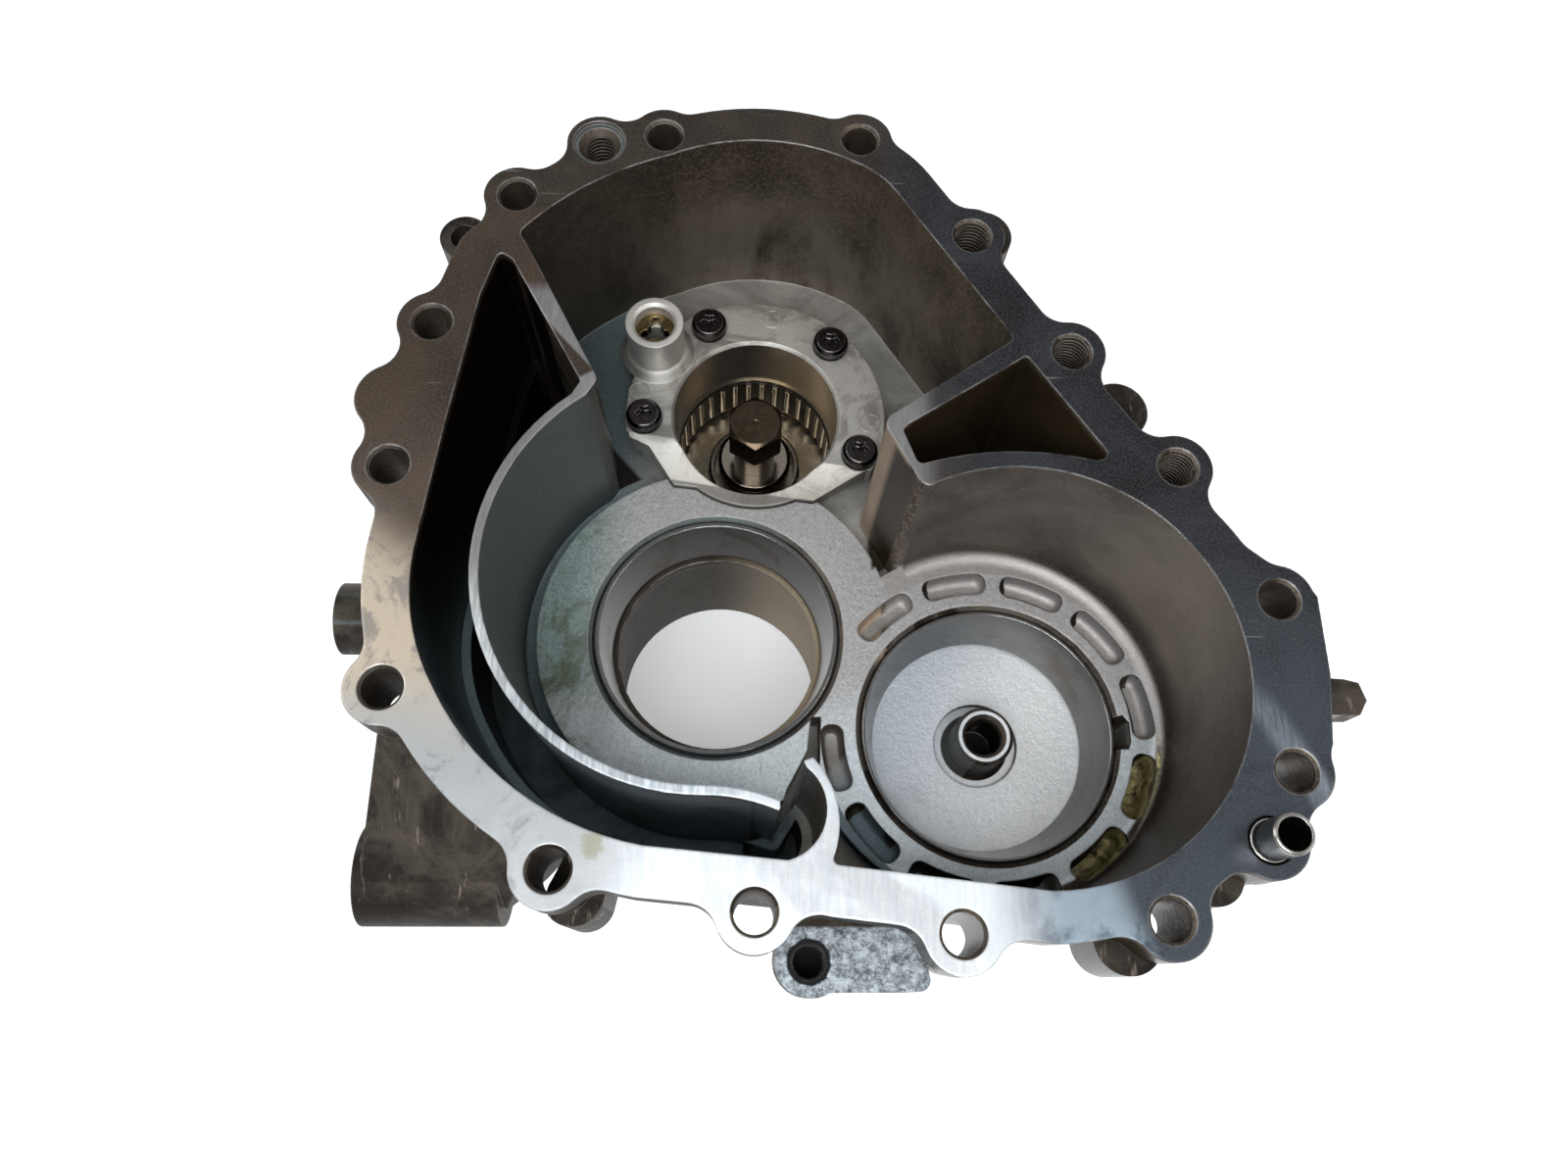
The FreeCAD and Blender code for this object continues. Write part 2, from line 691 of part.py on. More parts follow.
# Ribs on the back: name, the boss's axis, direction in degrees, foot level, and radii where they start and end
BACK_RIBS = [
    ("rib_left", 0.0, 0.0, 168.0, 36.0, 42.0, 74.0),
    ("rib_low_left", 0.0, 0.0, 222.0, 36.0, 42.0, 72.0),
    ("rib_low", 0.0, 0.0, 285.0, 36.0, 42.0, 72.0),
    ("rib_cross", 0.0, 0.0, -20.0, 36.0, 42.0, 100.0),
    ("rib_lobe_right", 86.6, -31.3, 15.0, 56.0, 44.0, 60.0),
    ("rib_lobe_low", 86.6, -31.3, -60.0, 56.0, 44.0, 58.0),
    ("rib_lobe_up", 86.6, -31.3, 75.0, 56.0, 44.0, 60.0),
    ("rib_bell_left", 12.0, 76.4, 150.0, 36.0, 36.0, 72.0),
    ("rib_bell_top", 12.0, 76.4, 90.0, 36.0, 36.0, 66.0),
    ("rib_bell_right", 12.0, 76.4, 20.0, 36.0, 36.0, 74.0),
]
# How far a rib runs into its boss, and how deep its outer end stays below the floor
RIB_ROOT = 6.0
RIB_TIP = 8.0


def back_ribs():
    """Stiffening ribs on the back, from the bearing bosses out to the walls."""
    ribs = []
    floor = float(size.deep_floor_level)
    for name, x, y, turn, low, near, far in BACK_RIBS:
        root = near - RIB_ROOT
        corners = [(root, low), (near, low), (far, floor - RIB_TIP), (far, floor), (root, floor)]
        half = float(size.rib_thickness) / 2
        wire = [FreeCAD.Vector(along, -half, level) for along, level in corners]
        outline = doc.addObject("Part::Feature", name + "_outline")
        outline.Shape = Part.Face(Part.makePolygon(wire + wire[:1]))
        rib = doc.addObject("Part::Extrusion", name)
        rib.Base = outline
        rib.DirMode = "Custom"
        rib.Dir = FreeCAD.Vector(0, 1, 0)
        rib.Solid = True
        rib.LengthFwd = float(size.rib_thickness)
        bind(rib, "LengthFwd", size.rib_thickness)
        rib.Placement = FreeCAD.Placement(FreeCAD.Vector(x, y, 0), FreeCAD.Rotation(FreeCAD.Vector(0, 0, 1), turn))
        ribs.append(rib)
    return ribs


def relief_plane():
    """The unit vector from the shaft's axis towards the output bore."""
    return FreeCAD.Vector(-float(size.shaft_x), -float(size.shaft_y), 0).normalize()


def retainer_outline(margin):
    """The retainer's outline: a disc with ears and a cut-off skirt towards the output bore."""
    towards = relief_plane()
    across = FreeCAD.Vector(-towards.y, towards.x, 0)
    centre = point(size.shaft_x, size.shaft_y)
    start = centre + towards * (float(size.relief_start) + margin)
    far = centre - towards * 80.0
    corners = [start + across * 80.0, start - across * 80.0, far - across * 80.0, far + across * 80.0]
    half = facing_up(Part.makePolygon(corners + corners[:1]))
    plate = single(disc(size.shaft_x, size.shaft_y, float(size.retainer_radius) + margin).common(half))
    hub = disc(size.shaft_x, size.shaft_y, float(size.hub_radius) + margin)
    oil = polar(size.shaft_x, size.shaft_y, size.oil_boss_distance, float(size.oil_boss_angle))
    boss = disc(oil.x, oil.y, float(size.oil_boss_radius) + margin)
    skirt = polygon(RETAINER_SKIRT)
    if margin > 0:
        skirt = grown(skirt, margin)
    return single(plate.fuse([hub, boss, skirt]))


def window_faces():
    """Flat outlines of the recesses round the lower bearing, and which of them are deep."""
    shapes = []
    x, y = size.lower_x, size.lower_y
    blend = float(size.window_corner)
    inner = float(size.window_inner_radius) + blend
    outer = float(size.window_outer_radius) - blend
    step = 360.0 / WINDOW_PLACES
    room = disc(size.lobe_x, size.lobe_y, size.lobe_radius)
    for number in range(WINDOW_PLACES):
        if number == PLAIN_PLACE:
            continue
        middle = float(size.window_first_angle) + step * number
        half = step / 2 - math.degrees((float(size.window_rib) / 2 + blend) / inner)
        corner = polar(x, y, inner, middle - half)
        edge = Outline(corner.x, corner.y)
        edge.arc(polar(x, y, inner, middle), polar(x, y, inner, middle + half))
        corner = polar(x, y, outer, middle + half)
        edge.line(corner.x, corner.y)
        edge.arc(polar(x, y, outer, middle), polar(x, y, outer, middle - half))
        face = grown(edge.face(), blend).common(room)
        shapes.append((number, single(face), number in DEEP_PLACES))
    return shapes


def bore_pieces():
    """Everything that is bored, drilled or machined out of the casting."""
    face, top = size.face_level, size.flange_level
    seat = face - size.cup_sink - size.output_cup_width - size.shim_thickness
    mouth = size.mouth_chamfer
    groove_height = size.circlip_thickness + size.circlip_gap * 2.0
    pieces = [
        cylinder("output_cup_bore", size.output_cup_diameter / 2.0, top - seat, 0, 0, seat),
        cone("output_cup_chamfer", size.output_cup_diameter / 2.0, size.output_cup_diameter / 2.0 + mouth, mouth,
             0, 0, face - mouth),
        cylinder("tube_lip_bore", size.tube_lip_radius, face, 0, 0, 0),
        cylinder("tube_bore", size.tube_bore_radius, seat - size.tube_lip_width, 0, 0, 0),
        cylinder("lower_cup_bore", size.lower_cup_diameter / 2.0, top - seat, size.lower_x, size.lower_y,
                 seat),
        cone("lower_cup_chamfer", size.lower_cup_diameter / 2.0, size.lower_cup_diameter / 2.0 + mouth, mouth,
             size.lower_x, size.lower_y, face - mouth),
        cylinder("hub_bore", size.hub_radius + size.hub_clearance, top - size.hub_bowl_level, size.shaft_x,
                 size.shaft_y, size.hub_bowl_level),
        cylinder("shaft_window", size.shaft_window_radius, top - PAST, size.shaft_x, size.shaft_y, PAST),
        prism("retainer_pocket", retainer_outline(float(size.retainer_room)), size.seat_level, face + PAST),
        cylinder("nozzle_moat", size.nozzle_moat_radius, size.nozzle_moat_depth + PAST, size.lower_x, size.lower_y,
                 seat - size.nozzle_moat_depth),
        cylinder("bearing_bore", size.bearing_outer_radius, size.bearing_top_level, size.shaft_x, size.shaft_y, 0),
        cylinder("circlip_groove", size.bearing_outer_radius + size.circlip_groove_depth, groove_height,
                 size.shaft_x, size.shaft_y, size.bearing_top_level - size.bearing_width - groove_height),
    ]
    radius = size.bolt_hole_diameter / 2.0
    length = size.bolt_boss_length
    edge = size.hole_chamfer
    for number, (x, y) in enumerate(bolt_places(), 1):
        pieces.append(cylinder("bolt_hole_%d" % number, radius, length + PAST, x, y, top - length))
        pieces.append(cone("bolt_chamfer_%d" % number, radius, radius + edge, edge, x, y, top - edge))
    x, y = size.dowel_x, size.dowel_y
    radius = size.dowel_radius + size.dowel_step + size.fit_gap
    depth = size.dowel_relief_depth
    pieces.append(cylinder("dowel_hole", radius, size.dowel_seat + PAST, x, y, top - size.dowel_seat))
    wide = size.dowel_radius + size.dowel_relief_room
    pieces.append(cylinder("dowel_relief", wide, depth + PAST, x, y, top - depth))
    x, y = size.spare_x, size.spare_y
    radius = size.spare_hole_radius
    depth = size.spare_step_depth
    sink = size.spare_sink
    pieces.append(cylinder("spare_step", size.spare_step_radius, depth + PAST, x, y, top - depth))
    pieces.append(cylinder("spare_hole", radius, size.spare_hole_depth, x, y, top - size.spare_hole_depth))
    pieces.append(cone("spare_sink", radius, radius + sink, sink, x, y, top - depth - sink))
    sensor_height = size.sensor_top_level - size.sensor_foot_level + PAST * 2.0
    pieces.append(cylinder("sensor_hole", size.sensor_hole_radius, sensor_height, size.sensor_x, size.sensor_y,
                           size.sensor_foot_level - PAST))
    pieces.append(cylinder("lug_hole", size.lug_hole_radius, size.lug_hole_depth + PAST, size.lug_hole_x,
                           size.lug_hole_y, size.lug_level - size.lug_hole_depth))
    sideways = FreeCAD.Rotation(FreeCAD.Vector(0, 1, 0), 90)
    pieces.append(cylinder("bracket_bore", size.bracket_bore_radius, size.bracket_bore_depth + PAST,
                           size.bracket_eye_x - PAST, size.bracket_eye_y, size.bracket_eye_level, sideways))
    for number, face_shape, deep in window_faces():
        depth = size.window_deep if deep else size.window_depth
        window = prism("window_%d" % number, face_shape, face - depth, face + size.lobe_foot_round + PAST)
        pieces.append(round_foot(window, size.window_foot_round))
    slot = polygon([(126.0, -36.5), (131.0, -36.5), (132.0, -34.0), (132.0, -28.0), (130.0, -25.5),
                    (126.0, -26.5)])
    pieces.append(prism("oil_slot", slot, face - size.oil_slot_depth, face + PAST))
    for number in range(1, len(SCREW_ANGLES) + 1):
        x, y = screw_place(number)
        pieces.append(cylinder("screw_bore_%d" % number, size.screw_shank_radius, size.screw_length, x, y,
                               size.seat_level - size.screw_length + size.retainer_thickness - PAST))
    return pieces


def screw_place(number):
    """A retainer screw's place on its circle round the shaft's axis."""
    angle = getattr(size, "screw_%d_angle" % number)
    radius = size.screw_circle / 2.0
    x = float(size.shaft_x) + float(radius) * math.cos(math.radians(float(angle)))
    y = float(size.shaft_y) + float(radius) * math.sin(math.radians(float(angle)))
    along = "%s * cos(%s * 1 deg)" % (radius.formula, angle.formula)
    up = "%s * sin(%s * 1 deg)" % (radius.formula, angle.formula)
    return Dim(x, "(sizes.shaft_x + %s)" % along), Dim(y, "(sizes.shaft_y + %s)" % up)


def lobe_foot():
    """The rounded foot of the lobe's wall, from one end of the lobe's arc round to the other."""
    x, y = size.lobe_x, size.lobe_y
    radius = float(size.lobe_radius)
    round_by = float(size.lobe_foot_round)
    level = float(size.face_level)
    centre = FreeCAD.Vector(radius - round_by, 0, round_by)
    corners = [FreeCAD.Vector(radius, 0, round_by), FreeCAD.Vector(radius + PAST, 0, round_by),
               FreeCAD.Vector(radius + PAST, 0, -PAST), FreeCAD.Vector(radius - round_by, 0, -PAST),
               FreeCAD.Vector(radius - round_by, 0, 0)]
    halfway = centre + FreeCAD.Vector(1, 0, -1).normalize() * round_by
    edges = [Part.Arc(corners[4], halfway, corners[0]).toShape()]
    edges += [Part.LineSegment(corners[step], corners[step + 1]).toShape() for step in range(4)]
    outline = doc.addObject("Part::Feature", "lobe_foot_outline")
    outline.Shape = Part.Face(Part.Wire(edges))
    ring = doc.addObject("Part::Revolution", "lobe_foot_ring")
    ring.Source = outline
    ring.Axis = FreeCAD.Vector(0, 0, 1)
    ring.Angle = 360.0
    ring.Solid = True
    place(ring, x, y, size.face_level)
    middle = sum(LOBE_ENDS) / 2
    ends = [polar(x, y, radius * 3.0, turn) for turn in (LOBE_ENDS[1], middle - 30.0, middle + 30.0, LOBE_ENDS[0])]
    sector = polygon([(x, y)] + [(end.x, end.y) for end in ends])
    return common("lobe_foot", ring, prism("lobe_foot_sector", sector, level - PAST, level + round_by))


def housing_casting():
    """The cast half housing: walls and bosses, less its hollows, with the nozzle boss put back."""
    solid = fuse("cast_solid", shell_pieces() + boss_pieces())
    hollow = fuse("cast_hollow", core_pieces())
    body = fuse("cast_body", [cut("cast_open", solid, hollow), lobe_foot()])
    seat = size.face_level - size.cup_sink - size.output_cup_width - size.shim_thickness
    machined = cut("cast_machined", body, fuse("cast_bores", bore_pieces()))
    x, y = size.lower_x, size.lower_y
    radius = size.nozzle_boss_radius
    edge = (radius - size.nozzle_bore_radius) / 3.0
    moat = seat - size.nozzle_moat_depth
    high = seat + size.nozzle_boss_height
    joined = fuse("cast_with_nozzle", [
        machined,
        cylinder("nozzle_boss", radius, high - edge - moat + 1.0, x, y, moat - 1.0),
        cone("nozzle_root", radius + edge * 1.5, radius, edge * 1.5, x, y, moat),
        cone("nozzle_rim", radius, radius - edge, edge, x, y, high - edge),
    ])
    casting = cut("housing_casting", joined, fuse("nozzle_bores", [
        cylinder("nozzle_bore", size.nozzle_bore_radius, size.nozzle_bore_depth + 1.0, x, y,
                 high - size.nozzle_bore_depth),
        cone("nozzle_mouth", size.nozzle_bore_radius, size.nozzle_bore_radius + edge, edge, x, y, high - edge),
    ]))
    casting.Label = "housing_casting"
    return casting


def origin_plane(body, role):
    """A body's own base plane, found by its role."""
    return [feature for feature in body.Origin.OriginFeatures if feature.Role == role][0]


def section(body, name, corners):
    """A closed section of a turned piece: each corner is a radius and a height tied to the sheet."""
    sketch = body.newObject("Sketcher::SketchObject", name)
    sketch.AttachmentSupport = (origin_plane(body, "XZ_Plane"), [""])
    sketch.MapMode = "FlatFace"
    ends = [FreeCAD.Vector(float(radius), float(height), 0) for radius, height in corners]
    count = len(corners)
    for number in range(count):
        sketch.addGeometry(Part.LineSegment(ends[number], ends[(number + 1) % count]), False)
    for number in range(count):
        sketch.addConstraint(Sketcher.Constraint("Coincident", number, 2, (number + 1) % count, 1))
    for number, pair in enumerate(corners):
        for kind, axis, distance in (("DistanceX", -2, pair[0]), ("DistanceY", -1, pair[1])):
            if float(distance) == 0.0:
                sketch.addConstraint(Sketcher.Constraint("PointOnObject", number, 1, axis))
            else:
                index = sketch.addConstraint(Sketcher.Constraint(kind, -1, 1, number, 1, float(distance)))
                bind(sketch, "Constraints[%d]" % index, distance)
    return sketch


def turned(label, corners, x, y, z):
    """A turned piece on an upright axis, from its half section."""
    body = doc.addObject("PartDesign::Body", label)
    body.Label = label
    sketch = section(body, label + "_section", corners)
    doc.recompute()
    turn = body.newObject("PartDesign::Revolution", label + "_turned")
    turn.Profile = sketch
    turn.ReferenceAxis = (sketch, ["V_Axis"])
    turn.Angle = 360.0
    return place(body, x, y, z)


def bearing_cup(label, diameter, thin, thick, x, y):
    """A tapered roller bearing's cup, with its raceway wider at the open end."""
    outer = diameter / 2.0 - size.fit_gap
    width = size.output_cup_width
    edge = size.cup_edge
    corners = [(outer - thick, 0), (outer - edge, 0), (outer, edge), (outer, width - edge), (outer - edge, width),
               (outer - thin, width)]
    return turned(label, corners, x, y, cup_level())


def cup_level():
    """The height of both cups' lower ends."""
    return size.face_level - size.cup_sink - size.output_cup_width


def shim(label, diameter, x, y):
    """The preload shim under a bearing cup."""
    outer = diameter / 2.0 - size.fit_gap
    corners = [(outer - size.shim_width, 0), (outer, 0), (outer, size.shim_thickness),
               (outer - size.shim_width, size.shim_thickness)]
    return turned(label, corners, x, y, cup_level() - size.shim_thickness)


def locating_dowel():
    """The hollow dowel sleeve that stands out of the flange."""
    outer = size.dowel_radius
    inner = outer - size.dowel_wall
    length = size.dowel_seat + size.dowel_stand
    edge = size.dowel_wall / 2.0
    pressed = outer + size.dowel_step
    seat = size.dowel_seat
    corners = [(inner, 0), (pressed - edge, 0), (pressed, edge), (pressed, seat), (outer, seat),
               (outer, length - edge), (outer - edge, length), (inner, length)]
    return turned("locating_dowel", corners, size.dowel_x, size.dowel_y, size.flange_level - size.dowel_seat)


def bearing_retainer():
    """The cast retainer: plate, bored hub, relief towards the output bore, and oil nozzle boss."""
    top = size.seat_level + size.retainer_thickness
    x, y = size.shaft_x, size.shaft_y
    foot = top - size.hub_depth
    oil_x, oil_y = oil_place()
    oil_top = top + size.oil_boss_height
    solid = fuse("retainer_solid", [
        prism("retainer_plate", retainer_outline(0.0), size.seat_level, top),
        cylinder("retainer_hub", size.hub_radius, size.hub_depth, x, y, foot),
        cylinder("retainer_oil_boss", size.oil_boss_radius, oil_top - size.seat_level, oil_x, oil_y,
                 size.seat_level),
        cone("retainer_oil_root", size.oil_boss_radius + size.oil_root, size.oil_boss_radius, size.oil_root, oil_x,
             oil_y, top),
    ])
    mouth = size.hub_mouth_chamfer
    tools = [
        cylinder("retainer_bore", size.retainer_bore_radius, size.hub_depth + PAST * 2.0, x, y, foot - PAST),
        cone("retainer_bore_chamfer", size.retainer_bore_radius, size.retainer_bore_radius + mouth, mouth, x, y,
             top - mouth),
        cylinder("shell_pocket", size.shell_outer_radius, shell_level() + size.shell_height - foot + PAST, x, y,
                 foot - PAST),
        relief_tool(top),
        cylinder("oil_bore", size.oil_bore_radius, size.oil_insert_sink + size.oil_insert_thickness + PAST,
                 oil_x, oil_y, oil_top - size.oil_insert_sink - size.oil_insert_thickness),
        cone("oil_mouth", size.oil_bore_radius, size.oil_bore_radius + mouth, mouth, oil_x, oil_y,
             oil_top - mouth),
        cylinder("oil_drill", size.oil_drill_radius, size.oil_boss_height + size.retainer_thickness, oil_x, oil_y,
                 size.seat_level - PAST),
    ]
    for number in range(1, len(SCREW_ANGLES) + 1):
        hole_x, hole_y = screw_place(number)
        tools.append(cylinder("retainer_screw_hole_%d" % number, size.screw_shank_radius + size.screw_hole_gap,
                              size.retainer_thickness + PAST * 2.0, hole_x, hole_y, size.seat_level - PAST))
        tools.append(cylinder("retainer_spot_face_%d" % number, size.screw_head_radius + size.spot_face_room,
                              size.oil_boss_height, hole_x, hole_y, top - size.spot_face_depth))
    retainer = cut("bearing_retainer", solid, fuse("retainer_tools", tools))
    retainer.Label = "bearing_retainer"
    return retainer


def oil_place():
    """The oil nozzle boss's place on the retainer."""
    angle = size.oil_boss_angle
    along = size.oil_boss_distance
    x = float(size.shaft_x) + float(along) * math.cos(math.radians(float(angle)))
    y = float(size.shaft_y) + float(along) * math.sin(math.radians(float(angle)))
    formula_x = "(sizes.shaft_x + %s * cos(%s * 1 deg))" % (along.formula, angle.formula)
    formula_y = "(sizes.shaft_y + %s * sin(%s * 1 deg))" % (along.formula, angle.formula)
    return Dim(x, formula_x), Dim(y, formula_y)


def relief_tool(top):
    """What is milled off the retainer towards the output bore: a slope, then a flat."""
    start = float(size.relief_start)
    end = start + float(size.relief_run)
    high = float(top)
    low = high - float(size.relief_drop)
    profile = [(start - 12.0, high + 60.0), (start - 12.0, high), (start, high), (end, low), (end + 40.0, low),
               (end + 40.0, high + 60.0)]
    towards = relief_plane()
    across = FreeCAD.Vector(-towards.y, towards.x, 0)
    centre = point(size.shaft_x, size.shaft_y) - across * 60.0
    wire = [centre + towards * along + FreeCAD.Vector(0, 0, level) for along, level in profile]
    outline = doc.addObject("Part::Feature", "relief_outline")
    outline.Shape = Part.Face(Part.makePolygon(wire + wire[:1]))
    tool = doc.addObject("Part::Extrusion", "relief_tool")
    tool.Base = outline
    tool.DirMode = "Custom"
    tool.Dir = across
    tool.LengthFwd = 120.0
    tool.Solid = True
    return tool


def shell_level():
    """The height of the needle shell's lower end."""
    return size.seat_level + size.retainer_thickness - size.hub_depth + 1.0


def retainer_screw(number):
    """A pan-head screw with a six-lobe socket, seated on the retainer."""
    head, shank = size.screw_head_radius, size.screw_shank_radius - size.fit_gap
    length, height = size.screw_length, size.screw_head_height
    edge = height / 4.0
    tip = size.screw_tip
    corners = [(0, 0), (shank - tip, 0), (shank, tip), (shank, length), (head, length),
               (head, length + height - edge), (head - edge, length + height), (0, length + height)]
    x, y = screw_place(number)
    level = size.seat_level + size.retainer_thickness - size.spot_face_depth - length
    screw = turned("retainer_screw_%d" % number, corners, x, y, level)
    doc.recompute()
    sketch = screw.newObject("Sketcher::SketchObject", "socket_%d" % number)
    sketch.AttachmentSupport = (origin_plane(screw, "XY_Plane"), [""])
    sketch.MapMode = "FlatFace"
    sketch.AttachmentOffset = FreeCAD.Placement(FreeCAD.Vector(0, 0, float(length + height)), FreeCAD.Rotation())
    bind(sketch, "AttachmentOffset.Base.z", length + height)
    outer = float(size.screw_socket_radius)
    tips = [polar(0, 0, outer if step % 2 == 0 else outer * 0.72, step * 30.0) for step in range(12)]
    for step in range(12):
        sketch.addGeometry(Part.LineSegment(tips[step], tips[(step + 1) % 12]), False)
    for step in range(12):
        sketch.addConstraint(Sketcher.Constraint("Coincident", step, 2, (step + 1) % 12, 1))
    doc.recompute()
    socket = screw.newObject("PartDesign::Pocket", "socket_cut_%d" % number)
    socket.Profile = sketch
    socket.Length = float(size.screw_socket_depth)
    bind(socket, "Length", size.screw_socket_depth)
    return screw


def oil_nozzle_insert():
    """The three-lobed insert in the oil boss's mouth."""
    x, y = oil_place()
    level = size.seat_level + size.retainer_thickness + size.oil_boss_height - size.oil_insert_sink \
        - size.oil_insert_thickness
    plug = cylinder("insert_plug", size.oil_bore_radius - size.fit_gap, size.oil_insert_thickness, x, y, level)
    lobes = [cylinder("insert_centre", size.oil_bore_radius * 0.42, size.oil_insert_thickness + 2.0, x, y,
                      level - 1.0)]
    for step in range(3):
        turn = math.radians(90.0 + 120.0 * step)
        reach = size.oil_bore_radius * 0.5
        lobe_x = x + reach * math.cos(turn)
        lobe_y = y + reach * math.sin(turn)
        lobes.append(cylinder("insert_lobe_%d" % (step + 1), size.oil_bore_radius * 0.3,
                              size.oil_insert_thickness + 2.0, lobe_x, lobe_y, level - 1.0))
    insert = cut("oil_nozzle_insert", plug, fuse("insert_holes", lobes))
    insert.Label = "oil_nozzle_insert"
    return insert


def needle_shell():
    """The drawn outer shell, lipped at both ends, with the raceway between the lips."""
    outer = size.shell_outer_radius - size.fit_gap
    track = size.needle_circle_radius + size.needle_radius + size.needle_gap
    height, lip = size.shell_height, size.shell_lip
    bore = size.retainer_bore_radius - size.shell_lip_stand
    edge = size.shell_edge
    corners = [(outer, edge), (outer, height - edge), (outer - edge, height), (bore, height), (bore, height - lip),
               (track, height - lip), (track, lip), (bore, lip), (bore, 0), (outer - edge, 0)]
    return turned("needle_shell", corners, size.shaft_x, size.shaft_y, shell_level())


def needle_cage():
    """The cage that spaces the needles, with one window for each."""
    outer = size.needle_circle_radius + size.needle_radius + size.needle_gap - size.cage_gap
    height = size.shell_height - size.shell_lip * 2.0 - size.cage_gap * 2.0
    level = shell_level() + size.shell_lip + size.cage_gap
    ring = cylinder("cage_ring", outer, height, size.shaft_x, size.shaft_y, level)
    bore = cylinder("cage_bore", outer - size.cage_thickness, height + PAST * 2.0, size.shaft_x, size.shaft_y,
                    level - PAST)
    band = cut("cage_band", ring, bore)
    window = doc.addObject("Part::Box", "cage_window")
    bind(window, "Length", size.cage_thickness * 4.0)
    bind(window, "Width", size.needle_radius * 2.0 + size.cage_gap)
    bind(window, "Height", size.needle_length + size.cage_gap)
    doc.recompute()
    count = int(round(float(size.needle_count)))
    middle = float(level) + float(height) / 2.0 - float(window.Height) / 2.0
    openings = []
    for step in range(count):
        turn = FreeCAD.Rotation(FreeCAD.Vector(0, 0, 1), 360.0 * step / count)
        start = FreeCAD.Vector(float(outer) - 1.5 * float(size.cage_thickness) - 0.75, -window.Width.Value / 2, 0)
        base = point(size.shaft_x, size.shaft_y) + turn.multVec(start) + FreeCAD.Vector(0, 0, middle)
        shape = window.Shape.copy()
        shape.Placement = FreeCAD.Placement(base, turn)
        openings.append(shape)
    windows = doc.addObject("Part::Feature", "cage_windows")
    windows.Shape = Part.makeCompound(openings)
    cage = cut("needle_cage", band, windows)
    cage.Label = "needle_cage"
    return cage


def ring_of(label, piece, count, radius, x, y, level, start=0.0):
    """Copies of one piece, evenly turned round an upright axis, as one group."""
    doc.recompute()
    copies = []
    for step in range(count):
        turn = start + 360.0 * step / count
        spot = polar(x, y, radius, turn) + FreeCAD.Vector(0, 0, float(level))
        shape = piece.Shape.copy()
        upright = FreeCAD.Placement(spot, FreeCAD.Rotation(FreeCAD.Vector(0, 0, 1), turn))
        shape.Placement = upright.multiply(shape.Placement)
        copies.append(shape)
    group = doc.addObject("Part::Feature", label)
    group.Label = label
    group.Shape = Part.makeCompound(copies)
    return group


def needle_rollers():
    """The needles, standing in the cage's windows."""
    needle = cylinder("needle", size.needle_radius, size.needle_length, 0, 0, 0)
    level = shell_level() + size.shell_height / 2.0 - size.needle_length / 2.0
    return ring_of("needle_rollers", needle, int(round(float(size.needle_count))), size.needle_circle_radius,
                   size.shaft_x, size.shaft_y, level)


def thrust_washer():
    """The washer on the bowl's floor that the hub's foot runs against."""
    outer = size.hub_radius - size.washer_room
    inner = size.washer_inner_radius
    thick = size.seat_level + size.retainer_thickness - size.hub_depth - size.hub_bowl_level
    return turned("thrust_washer", [(inner, 0), (outer, 0), (outer, thick), (inner, thick)], size.shaft_x,
                  size.shaft_y, size.hub_bowl_level)


def output_shaft():
    """The output shaft's end: journal, shoulder, cupped rim and tapped bore."""
    foot = size.shaft_foot_level
    shoulder = size.bearing_top_level - foot
    top = size.shaft_top_level - foot
    floor = top - size.shaft_cup_depth
    drill = size.bolt_thread_radius + size.fit_gap
    end = floor - size.bolt_length - 2.0
    corners = [(0, 0), (size.shaft_radius - 1.5, 0), (size.shaft_radius, 1.5), (size.shaft_radius, shoulder),
               (size.shaft_rim_radius, shoulder), (size.shaft_rim_radius, top - 0.6),
               (size.shaft_rim_radius - 0.6, top), (size.shaft_cup_radius, top), (size.shaft_cup_radius, floor),
               (drill, floor), (drill, end), (0, end - 3.0)]
    return turned("output_shaft", corners, size.shaft_x, size.shaft_y, foot)


def collar_level():
    return size.shaft_top_level - size.shaft_cup_depth


def bolt_collar():
    """The polished collar that the bolt clamps on the shaft."""
    inner = size.bolt_thread_radius + size.fit_gap
    outer = size.collar_radius
    top = size.collar_height
    corners = [(inner, 0), (outer, 0), (outer, top - 1.2), (outer - 1.2, top), (inner, top)]
    return turned("bolt_collar", corners, size.shaft_x, size.shaft_y, collar_level())


def hub_bolt():
    """The hexagon bolt: chamfered head, neck and threaded shank."""
    seat = collar_level() + size.collar_height
    under = seat + size.bolt_neck_height
    top = under + size.bolt_head_height
    x, y = size.shaft_x, size.shaft_y
    hexagon = doc.addObject("Part::Prism", "bolt_hexagon")
    hexagon.Polygon = 6
    bind(hexagon, "Circumradius", size.bolt_head_flats / math.sqrt(3.0))
    bind(hexagon, "Height", size.bolt_head_height)
    turn = FreeCAD.Rotation(FreeCAD.Vector(0, 0, 1), 30.0)
    place(hexagon, x, y, under, turn)
    flats = size.bolt_head_flats / 2.0
    dome = cone("bolt_head_chamfer", flats * 0.92 + size.bolt_head_height * 2.0, flats * 0.92,
                size.bolt_head_height, x, y, under)
    head = common("bolt_head", hexagon, dome)
    neck = cylinder("bolt_neck", size.bolt_neck_radius, size.bolt_neck_height, x, y, seat)
    shank = cylinder("bolt_shank", size.bolt_thread_radius, size.bolt_length, x, y, seat - size.bolt_length)
    whole = fuse("bolt_solid", [head, neck, shank])
    mark = cone("bolt_centre_mark", 0.01, 0.9, 0.9, x, y, top - 0.9)
    bolt = cut("hub_bolt", whole, mark)
    bolt.Label = "hub_bolt"
    return bolt


